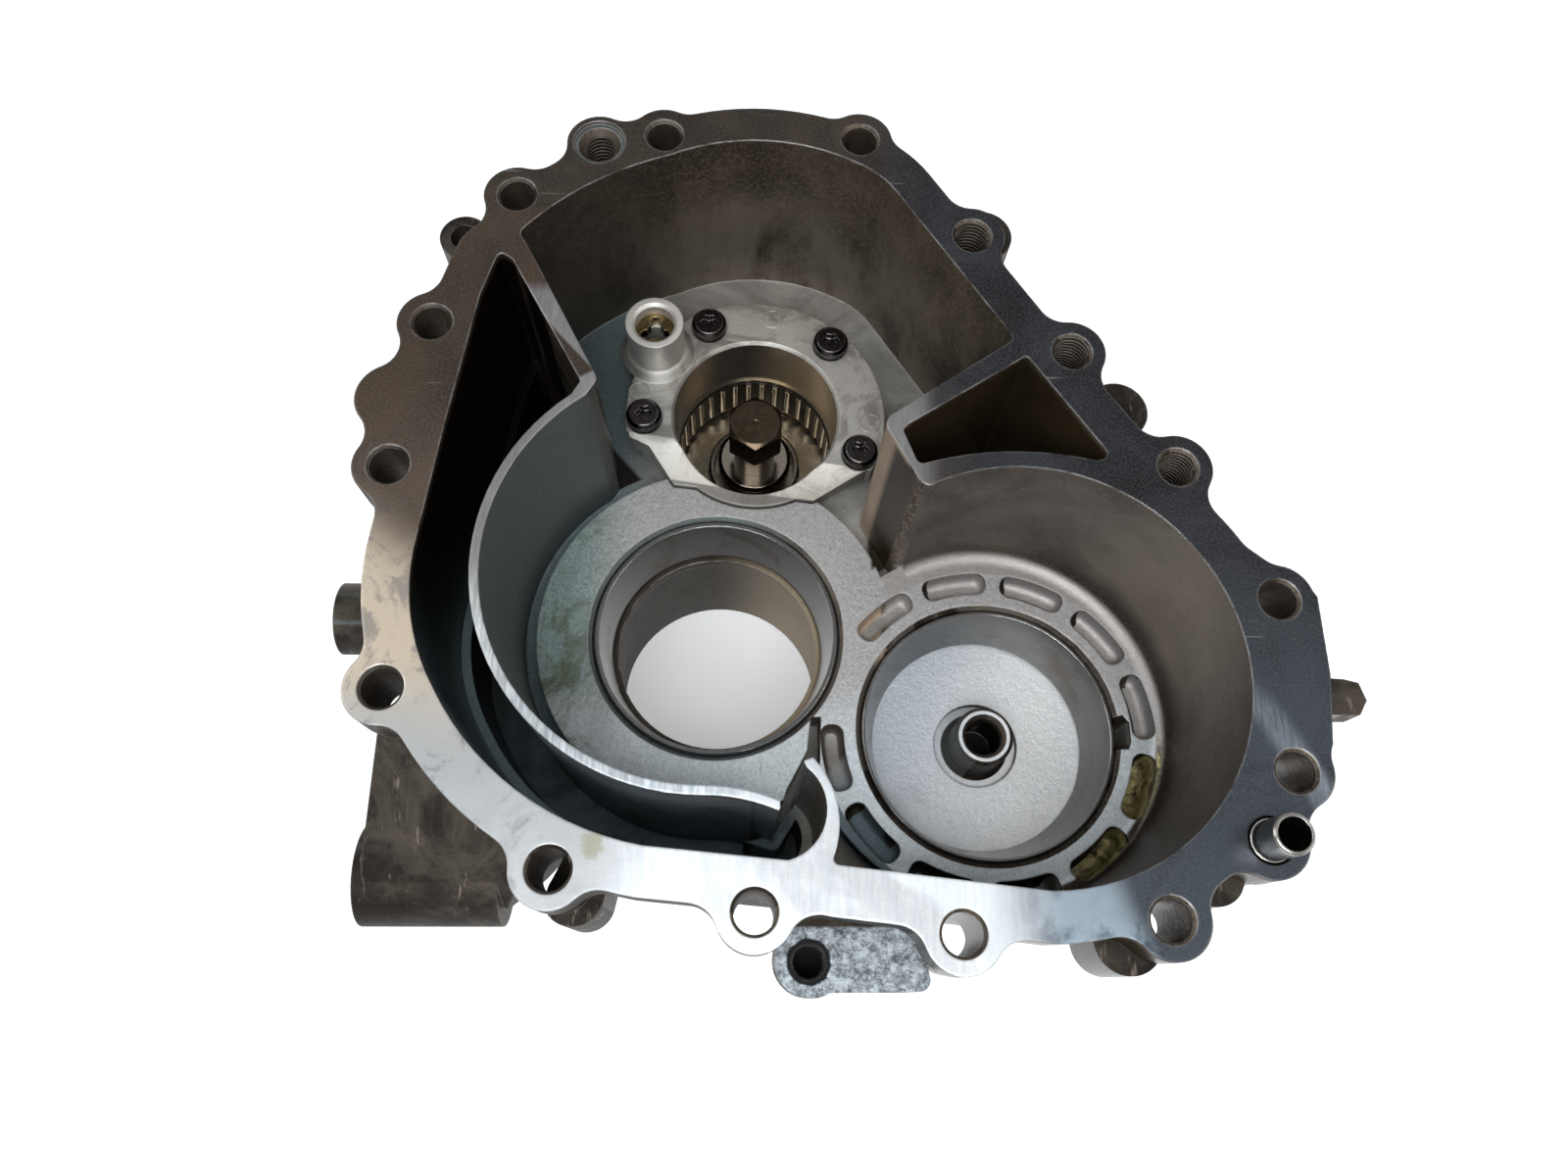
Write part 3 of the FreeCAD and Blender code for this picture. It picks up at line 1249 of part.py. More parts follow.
def ball_circle():
    """The radius of the ring bearing's ball circle, halfway between bore and outer ring."""
    return (size.shaft_radius + size.bearing_outer_radius) / 2.0


def grooved_ring(label, inner, outer):
    """A ball bearing's ring, with the raceway groove that the balls run in."""
    x, y = size.shaft_x, size.shaft_y
    level = size.bearing_top_level - size.bearing_width
    width = size.bearing_width
    body = turned(label + "_blank", [(inner, 0), (outer, 0), (outer, width), (inner, width)], x, y, level)
    groove = doc.addObject("Part::Torus", label + "_groove")
    bind(groove, "Radius1", ball_circle())
    bind(groove, "Radius2", size.ball_radius + size.groove_gap)
    place(groove, x, y, level + width / 2.0)
    ring = cut(label, body, groove)
    ring.Label = label
    return ring


def rear_bearing():
    """The ball bearing behind the hub: two rings, balls and their cage."""
    x, y = size.shaft_x, size.shaft_y
    thick = size.bearing_ring_thickness
    bore = size.shaft_radius + size.fit_gap
    rim = size.bearing_outer_radius - size.fit_gap
    inner = grooved_ring("rear_bearing_inner", bore, size.shaft_radius + thick)
    outer = grooved_ring("rear_bearing_outer", size.bearing_outer_radius - thick, rim)
    middle = size.bearing_top_level - size.bearing_width / 2.0
    count = int(round(float(size.ball_count)))
    ball = doc.addObject("Part::Sphere", "ball")
    bind(ball, "Radius", size.ball_radius)
    balls = ring_of("rear_bearing_balls", ball, count, ball_circle(), x, y, middle)
    half = size.ball_radius + 1.4
    near = ball_circle() - 1.1
    far = ball_circle() + 1.1
    band_section = [(near, 0), (far, 0), (far, half * 2.0), (near, half * 2.0)]
    band = turned("ball_cage_band", band_section, x, y, middle - half)
    outwards = FreeCAD.Rotation(FreeCAD.Vector(0, 1, 0), 90)
    room = cylinder("ball_room", size.ball_radius + size.groove_gap, size.ball_radius * 2.0,
                    size.ball_radius * -1.0, 0, 0, outwards)
    rooms = ring_of("ball_rooms", room, count, ball_circle(), x, y, middle)
    cage = cut("rear_bearing_cage", band, rooms)
    cage.Label = "rear_bearing_cage"
    return [inner, outer, balls, cage]


def bearing_circlip():
    """The internal circlip under the rear bearing, open on one side."""
    x, y = size.shaft_x, size.shaft_y
    level = size.bearing_top_level - size.bearing_width - size.circlip_thickness - size.circlip_gap
    inner = size.bearing_outer_radius - size.circlip_inset
    outer = size.bearing_outer_radius + size.circlip_bite
    thick = size.circlip_thickness
    ring = turned("circlip_ring", [(inner, 0), (outer, 0), (outer, thick), (inner, thick)], x, y, level)
    gap = doc.addObject("Part::Box", "circlip_opening")
    bind(gap, "Length", size.circlip_opening)
    bind(gap, "Width", size.circlip_opening)
    bind(gap, "Height", thick + PAST * 2.0)
    place(gap, x - size.circlip_opening / 2.0, inner + y - PAST, level - PAST)
    clip = cut("bearing_circlip", ring, gap)
    clip.Label = "bearing_circlip"
    return clip


def rear_shaft_seal():
    """The shaft seal in the rear boss, its lip just clear of the shaft."""
    outer = size.bearing_outer_radius - size.fit_gap
    lip = size.shaft_radius + size.seal_gap
    width = size.seal_width
    corners = [(outer, 0), (outer, width), (outer - 1.5, width), (outer - 1.5, width * 0.3),
               (lip + 3.6, width * 0.3),
               (lip + 2.8, width * 0.8), (lip, width * 0.62), (lip, width * 0.52), (lip + 1.4, width * 0.2),
               (lip + 3.2, 0)]
    return turned("rear_shaft_seal", corners, size.shaft_x, size.shaft_y, size.seal_top_level - width)


def build_parts():
    """Every sub-part, one object each."""
    lower = (size.lower_x, size.lower_y)
    parts = [
        housing_casting(),
        bearing_retainer(),
        oil_nozzle_insert(),
        needle_shell(),
        needle_cage(),
        needle_rollers(),
        thrust_washer(),
        output_shaft(),
        bolt_collar(),
        hub_bolt(),
        bearing_cup("output_bearing_cup", size.output_cup_diameter, size.cup_wall_thin, size.cup_wall_thick, 0, 0),
        bearing_cup("lower_bearing_cup", size.lower_cup_diameter, size.lower_cup_wall_thin,
                    size.lower_cup_wall_thick, *lower),
        shim("output_bearing_shim", size.output_cup_diameter, 0, 0),
        shim("lower_bearing_shim", size.lower_cup_diameter, *lower),
        locating_dowel(),
        bearing_circlip(),
        rear_shaft_seal(),
    ]
    parts += [retainer_screw(number) for number in range(1, len(SCREW_ANGLES) + 1)]
    return parts + rear_bearing()


def check(parts):
    """Stop unless every object recomputed well and every sub-part is a sound solid."""
    for thing in doc.Objects:
        if "Invalid" in thing.State or "Error" in thing.State:
            raise RuntimeError("%s failed: %s" % (thing.Label, thing.State))
    for part in parts:
        if part.Shape.isNull() or not part.Shape.isValid() or not part.Shape.Solids:
            raise RuntimeError("%s has no sound shape" % part.Label)
        print("%-22s %2d solids %9.1f cubic mm" % (part.Label, len(part.Shape.Solids), part.Shape.Volume))
        if part.Label == "housing_casting" and len(part.Shape.Solids) != 1:
            raise RuntimeError("the casting has loose pieces")


PARTS = build_parts()
doc.recompute()
check(PARTS)
os.makedirs("parts", exist_ok=True)
for part in PARTS:
    part.Shape.exportStep("parts/%s.step" % part.Label)
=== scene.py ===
"""Looks of the transfer case housing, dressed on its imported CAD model. Lengths are in metres."""

import bpy
from mathutils import Matrix, Vector


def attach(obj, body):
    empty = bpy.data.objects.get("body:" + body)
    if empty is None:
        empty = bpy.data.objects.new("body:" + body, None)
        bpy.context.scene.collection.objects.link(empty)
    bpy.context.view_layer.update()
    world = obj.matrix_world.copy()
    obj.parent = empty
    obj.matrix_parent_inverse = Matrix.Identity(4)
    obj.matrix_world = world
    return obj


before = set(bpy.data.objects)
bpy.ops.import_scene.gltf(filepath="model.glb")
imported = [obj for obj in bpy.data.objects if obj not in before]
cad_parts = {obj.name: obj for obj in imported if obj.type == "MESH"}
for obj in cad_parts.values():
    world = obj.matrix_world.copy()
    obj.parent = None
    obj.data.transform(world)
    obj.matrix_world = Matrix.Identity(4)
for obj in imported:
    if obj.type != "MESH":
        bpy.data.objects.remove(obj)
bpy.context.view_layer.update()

# Axes and arc centres of the casting
OUTPUT_AXIS = (0.0, 0.0)
LOWER_AXIS = (0.0866, -0.0313)
SHAFT_AXIS = (0.012, 0.0764)
WEB_CENTRE = (-0.0016, 0.0007)
LOBE_CENTRE = (0.0855, -0.0277)
LUG_HOLE = (0.0262, -0.1015)
SPARE_AXIS = (-0.0377, 0.1378)
BOLT_AXES = [
    (-0.0613, 0.1176), (-0.0179, 0.1412), (0.0430, 0.1417), (0.0763, 0.1069), (0.1034, 0.0673),
    (0.1304, 0.0306), (0.1536, -0.0085), (0.1512, -0.0552), (0.1145, -0.0921), (0.0628, -0.0954),
    (0.0121, -0.0904), (-0.0382, -0.0805), (-0.0838, -0.0355), (-0.0892, 0.0272), (-0.0821, 0.0726),
]
# Height of the flange, of the bearing face, and of the ends of the bosses under the flange's holes
FLANGE_LEVEL = 0.150
FACE_LEVEL = 0.085
HOLE_FOOT = 0.124
# The middle line of the straight wall between the sump and the bell, for Finish.slope
STRAIGHT_WALL = (0.743, 0.669, -0.0188)
# What the studio gives: the floor's colour and glow, and the strength of the surrounding
FLOOR_COLOUR = (0.79, 0.81, 0.83, 1.0)
FLOOR_GLOW = 0.36
SURROUNDING = 0.55


class Finish:
    """One procedural material, built node by node on Object coordinates."""

    def __init__(self, name, metallic=1.0, roughness=0.4, specular=0.5):
        self.material = bpy.data.materials.new(name)
        self.material.use_nodes = True
        self.tree = self.material.node_tree
        self.shader = self.tree.nodes["Principled BSDF"]
        self.shader.inputs["Metallic"].default_value = metallic
        self.shader.inputs["Roughness"].default_value = roughness
        self.shader.inputs["Specular IOR Level"].default_value = specular
        self.place = self.add("ShaderNodeTexCoord").outputs["Object"]
        self.x, self.y, self.z = self.add("ShaderNodeSeparateXYZ", self.place).outputs
        self.flat = self.add("ShaderNodeCombineXYZ", self.x, self.y, 0.0).outputs[0]
        self.true_normal = self.add("ShaderNodeNewGeometry").outputs["Normal"]
        self.side_x, self.side_y, self.up = self.add("ShaderNodeSeparateXYZ", self.true_normal).outputs

    def add(self, kind, *values, **settings):
        """A node with its settings, and its inputs linked or set in order."""
        node = self.tree.nodes.new(kind)
        for name, value in settings.items():
            setattr(node, name, value)
        for number, value in enumerate(values):
            self.feed(node.inputs[number], value)
        return node

    def feed(self, socket, value):
        if isinstance(value, bpy.types.NodeSocket):
            self.tree.links.new(value, socket)
        elif value is not None:
            socket.default_value = value

    def sum(self, kind, first, second=None, clamp=False):
        return self.add("ShaderNodeMath", first, second, operation=kind, use_clamp=clamp).outputs[0]

    def rise(self, value, low, high, start=0.0, end=1.0):
        """Smoothly from start to end as value goes from low to high."""
        node = self.add("ShaderNodeMapRange", value, low, high, start, end, interpolation_type="SMOOTHSTEP")
        return node.outputs[0]

    def both(self, first, second):
        return self.sum("MULTIPLY", first, second)

    def either(self, first, second):
        return self.sum("MAXIMUM", first, second)

    def less(self, value):
        return self.sum("SUBTRACT", 1.0, value)

    def slope(self, along_x, along_y, offset):
        """A value that grows steadily across the plan."""
        east = self.both(self.x, along_x)
        return self.sum("ADD", self.sum("ADD", east, self.both(self.y, along_y)), offset)

    def noise(self, scale, detail=4.0, rough=0.55, twist=0.0, place=None):
        node = self.add("ShaderNodeTexNoise")
        self.feed(node.inputs["Vector"], place or self.place)
        node.inputs["Scale"].default_value = scale
        node.inputs["Detail"].default_value = detail
        node.inputs["Roughness"].default_value = rough
        node.inputs["Distortion"].default_value = twist
        return node.outputs["Fac"]

    def stretched(self, scale_x, scale_y, scale_z, turn=0.0):
        """Coordinates drawn out along one way, for streaks, turning marks and scratches."""
        scale = (scale_x, scale_y, scale_z)
        return self.add("ShaderNodeMapping", self.place, None, (0.0, 0.0, turn), scale).outputs[0]

    def reach(self, centre):
        """Distance from an upright axis."""
        target = (centre[0], centre[1], 0.0)
        return self.add("ShaderNodeVectorMath", self.flat, target, operation="DISTANCE").outputs["Value"]

    def mix(self, share, under, over):
        node = self.add("ShaderNodeMix", data_type="RGBA")
        for number, value in ((0, share), (6, under), (7, over)):
            if isinstance(value, tuple):
                value = (*value, 1.0)
            self.feed(node.inputs[number], value)
        return node.outputs[2]

    def blend(self, share, under, over):
        return self.add("ShaderNodeMix", share, None, under, over, data_type="FLOAT").outputs[0]

    def bump(self, height, depth, strength=1.0, normal=None):
        node = self.add("ShaderNodeBump")
        node.inputs["Strength"].default_value = strength
        node.inputs["Distance"].default_value = depth
        self.feed(node.inputs["Height"], height)
        self.feed(node.inputs["Normal"], normal)
        return node.outputs[0]

    def rounded(self, radius):
        node = self.add("ShaderNodeBevel", samples=4)
        node.inputs["Radius"].default_value = radius
        return node.outputs[0]

    def worn(self, rounded_normal):
        """How near a sharp edge lies, from how far the rounded normal leans away."""
        lean = self.add("ShaderNodeVectorMath", rounded_normal, self.true_normal, operation="DOT_PRODUCT")
        return self.rise(lean.outputs["Value"], 0.995, 0.90)

    def finish(self, colour=None, roughness=None, normal=None, metallic=None):
        self.feed(self.shader.inputs["Base Color"], colour)
        self.feed(self.shader.inputs["Roughness"], roughness)
        self.feed(self.shader.inputs["Normal"], normal)
        self.feed(self.shader.inputs["Metallic"], metallic)
        return self.material


class CastingPlaces:
    """Masks of the casting's places, from height, distance and the way a face points."""

    def __init__(self, m):
        self.upward = m.rise(m.up, 0.85, 0.97)
        self.web = m.reach(WEB_CENTRE)
        self.lobe = m.reach(LOBE_CENTRE)
        self.lower = m.reach(LOWER_AXIS)
        self.deck = m.both(m.rise(m.z, FLANGE_LEVEL - 0.0010, FLANGE_LEVEL - 0.0006), self.upward)
        face = m.both(m.rise(m.z, FACE_LEVEL - 0.0015, FACE_LEVEL - 0.0008),
                      m.rise(m.z, FACE_LEVEL + 0.0012, FACE_LEVEL + 0.0008))
        self.face = m.both(face, self.upward)
        # the three-cornered pocket lies beyond the bell's lower right wall and the lobe's arc
        beside = m.slope(-0.570, 0.8215, -0.00804)
        pocket = m.both(m.rise(beside, -0.0015, -0.0030), m.rise(self.lobe, 0.0605, 0.0620))
        pocket = m.both(pocket, m.rise(m.x, 0.0500, 0.0515))
        pocket = m.both(pocket, m.rise(m.slope(0.7865, 0.6176, -0.1120), 0.0010, -0.0010))
        # the straight wall between the sump and the bell
        across = m.slope(*STRAIGHT_WALL)
        straight = m.both(m.rise(m.sum("ABSOLUTE", across), 0.006, 0.005), m.rise(m.y, 0.040, 0.045))
        straight = m.both(straight, m.rise(m.y, 0.092, 0.088))
        crook = m.both(m.rise(m.x, 0.010, 0.013), m.rise(m.x, 0.042, 0.039))
        crook = m.both(crook, m.both(m.rise(m.y, -0.079, -0.077), m.rise(m.y, -0.036, -0.039)))
        inner = m.either(m.rise(self.web, 0.0665, 0.0655), m.either(m.either(pocket, straight), crook))
        inner = m.both(inner, m.rise(m.z, 0.058, 0.060))
        outward = m.rise(m.sum("ADD", m.both(m.x, m.side_x), m.both(m.y, m.side_y)), 0.002, 0.006)
        # shelves outside: the lug, the tab and the bosses lie between these heights
        shelf = m.both(self.upward, m.both(m.rise(m.z, 0.094, 0.096), m.rise(m.z, 0.1490, 0.1486)))
        self.outside = m.either(m.both(outward, m.less(inner)), m.either(m.rise(m.up, -0.3, -0.5), shelf))
        sump = m.both(m.rise(self.web, 0.0622, 0.0628), m.rise(m.x, 0.030, 0.022))
        sump = m.both(sump, m.rise(across, 0.001, -0.001))
        sump = m.both(sump, m.rise(m.slope(1.0, 1.0, 0.1135), -0.001, 0.001))
        sump = m.both(sump, m.both(m.rise(m.x, -0.0820, -0.0810), m.rise(m.y, -0.0805, -0.0795)))
        self.sump = m.both(sump, m.rise(m.z, 0.1488, 0.1470))
        self.pocket = m.both(pocket, m.rise(m.z, 0.1490, 0.1475))
        # bolt holes of the flange, and the drilled spray hole over the lower bearing
        nearest = m.sum("SUBTRACT", m.reach(SPARE_AXIS), 0.0030)
        for bolt in BOLT_AXES:
            nearest = m.sum("MINIMUM", nearest, m.reach(bolt))
        hole = m.rise(nearest, 0.0056, 0.0054)
        hole = m.both(hole, m.rise(m.z, HOLE_FOOT, HOLE_FOOT + 0.0005))
        self.hole = m.both(hole, m.less(m.rise(m.up, 0.5, 0.8)))
        self.spray = m.both(m.rise(self.lower, 0.0066, 0.0063), m.rise(m.z, 0.0745, 0.0735))
        self.tube = m.both(m.rise(m.reach(OUTPUT_AXIS), 0.0385, 0.0375), m.rise(m.z, 0.066, 0.065))
        # the band between the recesses and the lobe's wall
        beyond = m.both(m.rise(self.lower, 0.0530, 0.0536), m.rise(m.z, 0.0880, 0.0860))
        within = m.both(m.rise(self.lobe, 0.0590, 0.0583), m.rise(m.reach(OUTPUT_AXIS), 0.056, 0.059))
        self.band = m.both(beyond, within)


def chamber_colour(m, at, patches):
    """Cast skin inside, with painted light and shade: brown-grey bell and lobe, teal of painted cool light
    round the output bore, pale lower floor.
    """
    streaks = m.noise(1.0, 6.0, 0.66, 0.35, m.stretched(42.0, 42.0, 15.0))
    clouds = m.noise(27.0, 5.0, 0.6, 1.1)
    speck = m.noise(820.0, 3.0, 0.8)
    high = m.rise(m.z, 0.096, 0.142)
    brown = m.mix(m.rise(clouds, 0.32, 0.70), (0.034, 0.024, 0.016), (0.120, 0.090, 0.062))
    brown = m.mix(m.both(m.rise(streaks, 0.46, 0.66), 0.6), brown, (0.026, 0.018, 0.011))
    low_wall = m.mix(patches, (0.11, 0.091, 0.070), (0.27, 0.235, 0.195))
    brown = m.mix(m.both(m.less(high), m.rise(streaks, 0.66, 0.40)), brown, low_wall)
    skin = m.mix(m.both(m.rise(speck, 0.42, 0.70), 0.50), brown, (0.215, 0.18, 0.142))
    # painted shade darkens the left of the bell, and painted cool light turns its floor teal
    left = m.rise(m.x, -0.004, -0.040)
    skin = m.mix(m.both(left, 0.65), skin, m.mix(speck, (0.014, 0.012, 0.009), (0.062, 0.056, 0.046)))
    # the teal tones round the web are painted cool light
    teal = m.mix(speck, (0.060, 0.088, 0.096), (0.25, 0.32, 0.34))
    web_wall = m.mix(speck, (0.070, 0.088, 0.090), (0.185, 0.215, 0.220))
    near_web = m.both(m.rise(at.web, 0.0640, 0.0620), m.rise(m.y, 0.060, 0.045))
    near_web = m.both(near_web, m.rise(m.x, 0.034, 0.010))
    skin = m.mix(m.both(near_web, 0.9), skin, m.mix(m.rise(m.y, -0.020, -0.050), web_wall, teal))
    floor_left = m.both(at.upward, left)
    skin = m.mix(m.both(floor_left, 0.9), skin, teal)
    grey_floor = m.mix(m.rise(clouds, 0.30, 0.70), (0.15, 0.142, 0.125), (0.42, 0.405, 0.375))
    grey_floor = m.mix(m.both(speck, 0.4), grey_floor, (0.40, 0.39, 0.37))
    skin = m.mix(m.both(at.upward, m.both(m.less(left), m.less(near_web))), skin, grey_floor)
    # the lobe gets painted warm light towards the right, and painted shade towards the front and at the foot
    # of its wall
    lobe = m.rise(at.lobe, 0.0590, 0.0583)
    east = m.both(m.rise(m.x, 0.108, 0.138), m.rise(m.y, -0.045, -0.005))
    warm = m.mix(m.rise(clouds, 0.30, 0.70), (0.085, 0.070, 0.057), (0.165, 0.140, 0.116))
    warm = m.mix(m.both(east, 0.75), warm, m.mix(clouds, (0.19, 0.15, 0.118), (0.36, 0.30, 0.25)))
    near_shade = m.mix(clouds, (0.020, 0.014, 0.010), (0.080, 0.062, 0.046))
    warm = m.mix(m.rise(m.y, -0.028, -0.072), warm, near_shade)
    foot = m.both(m.rise(m.z, 0.104, 0.090), m.rise(m.x, 0.095, 0.116))
    warm = m.mix(m.both(foot, 0.8), warm, (0.024, 0.016, 0.011))
    warm = m.mix(m.both(m.rise(speck, 0.42, 0.80), 0.35), warm, (0.27, 0.235, 0.20))
    skin = m.mix(m.both(lobe, m.less(at.upward)), skin, warm)
    # the pillar between the bell and the lobe catches warm light, with dark runs down its side
    pillar = m.both(m.both(m.rise(m.x, 0.040, 0.043), m.rise(m.x, 0.060, 0.056)), m.rise(m.y, 0.046, 0.042))
    pillar = m.both(pillar, m.both(m.rise(m.y, -0.012, -0.004), m.less(at.upward)))
    tan = m.mix(clouds, (0.40, 0.30, 0.225), (0.72, 0.57, 0.45))
    tan = m.mix(m.both(m.rise(m.x, 0.0535, 0.0550), m.rise(speck, 0.35, 0.55)), tan, (0.040, 0.026, 0.018))
    skin = m.mix(m.both(pillar, 0.85), skin, tan)
    # inside the lower cup: pale floor with a fine grain, brighter towards the right with painted light
    well = m.rise(at.lower, 0.0400, 0.0392)
    sunny = m.rise(m.slope(0.9, -0.35, -0.0889), -0.030, 0.020)
    floor = m.mix(speck, (0.40, 0.445, 0.49), (0.70, 0.74, 0.79))
    floor = m.mix(sunny, floor, m.mix(speck, (0.66, 0.68, 0.70), (0.98, 0.98, 0.98)))
    floor = m.mix(m.both(m.rise(clouds, 0.55, 0.75), 0.35), floor, (0.26, 0.29, 0.32))
    well_side = m.mix(m.rise(m.x, 0.060, 0.100), (0.080, 0.105, 0.115), (0.095, 0.068, 0.046))
    return m.mix(well, skin, m.mix(at.upward, well_side, floor))


def bearing_face_colour(m, patches):
    """Fine blasted grey, with oil run into the recesses, a dried olive edge at the left, and painted cool
    light: pale blue towards the front, teal at the left.
    """
    grain = m.rise(m.noise(1300.0, 3.0, 0.8), 0.25, 0.75)
    blasted = m.mix(grain, (0.29, 0.282, 0.282), (0.50, 0.49, 0.49))
    # painted cool light brightens the face towards the front and tints its left teal
    low = m.rise(m.slope(0.0, -1.0, 0.0), 0.010, 0.045)
    blasted = m.mix(m.both(low, 0.75), blasted, m.mix(grain, (0.52, 0.60, 0.64), (0.86, 0.93, 0.97)))
    cool = m.both(m.rise(m.x, -0.024, -0.048), m.rise(m.y, -0.030, -0.015))
    blasted = m.mix(m.both(cool, 0.8), blasted, m.mix(grain, (0.110, 0.175, 0.165), (0.28, 0.40, 0.38)))
    dried = m.both(m.rise(m.noise(38.0, 6.0, 0.7, 1.2), 0.47, 0.62), m.rise(m.x, -0.026, -0.052))
    blasted = m.mix(m.both(dried, 0.75), blasted, (0.085, 0.095, 0.040))
    scuffs = m.rise(m.noise(1.0, 3.0, 0.6, 0.0, m.stretched(900.0, 60.0, 1.0, 0.7)), 0.70, 0.76)
    blasted = m.mix(m.both(scuffs, 0.7), blasted, (0.05, 0.05, 0.05))
    return m.mix(m.both(m.rise(patches, 0.55, 0.75), 0.25), blasted, (0.16, 0.155, 0.145))


def window_colour(m, under, recess, wet):
    """Recess floors: grey above, blue-grey from painted cool light at the lower left, olive oil at the right.
    """
    grain = m.noise(1300.0, 2.0, 0.7)
    grey = m.mix(grain, (0.24, 0.225, 0.215), (0.46, 0.44, 0.43))
    blue = m.mix(grain, (0.10, 0.135, 0.155), (0.20, 0.26, 0.29))
    oil = m.mix(m.rise(m.noise(150.0, 5.0, 0.7, 1.2), 0.34, 0.60), (0.020, 0.016, 0.006), (0.50, 0.43, 0.20))
    low_left = m.both(m.rise(m.y, -0.035, -0.060), m.rise(m.x, 0.100, 0.080))
    colour = m.mix(wet, m.mix(low_left, grey, blue), oil)
    return m.mix(recess, under, colour)


def outside_colour(m, patches):
    """The outside of the casting: brown road dirt over grey skin, scratched through to bright metal."""
    dirt = m.rise(m.noise(38.0, 8.0, 0.72, 0.8), 0.38, 0.58)
    outer = m.mix(patches, (0.032, 0.026, 0.020), (0.095, 0.080, 0.064))
    outer = m.mix(m.both(dirt, 0.85), outer, (0.012, 0.008, 0.006))
    blotch = m.rise(m.noise(16.0, 5.0, 0.65, 0.5), 0.50, 0.66)
    outer = m.mix(m.both(blotch, 0.6), outer, (0.008, 0.006, 0.005))
    bright_patch = m.rise(m.noise(55.0, 7.0, 0.75, 0.4), 0.58, 0.70)
    outer = m.mix(m.both(bright_patch, 0.5), outer, (0.155, 0.132, 0.108))
    for turn in (0.6, -0.5):
        scratch = m.rise(m.noise(1.0, 3.0, 0.7, 0.3, m.stretched(260.0, 45.0, 70.0, turn)), 0.64, 0.69)
        outer = m.mix(m.both(scratch, 0.5), outer, (0.24, 0.205, 0.17))
    # the lug keeps grey paint with black flakes, and a black ring of painted shadow round its hole
    lug = m.both(m.both(m.rise(m.y, -0.0925, -0.0935), m.rise(m.z, 0.1335, 0.1328)), m.rise(m.up, 0.6, 0.9))
    lug = m.both(lug, m.both(m.rise(m.x, 0.012, 0.015), m.rise(m.x, 0.074, 0.071)))
    chalk = m.mix(m.rise(m.noise(420.0, 6.0, 0.85), 0.35, 0.65), (0.075, 0.082, 0.090), (0.48, 0.53, 0.57))
    flake = m.rise(m.noise(60.0, 6.0, 0.72, 1.0), 0.60, 0.62)
    ring = m.rise(m.sum("ADD", m.reach(LUG_HOLE), m.both(m.noise(420.0), 0.0012)), 0.0066, 0.0060)
    chalk = m.mix(m.either(flake, ring), chalk, (0.010, 0.010, 0.012))
    return m.mix(lug, outer, chalk)


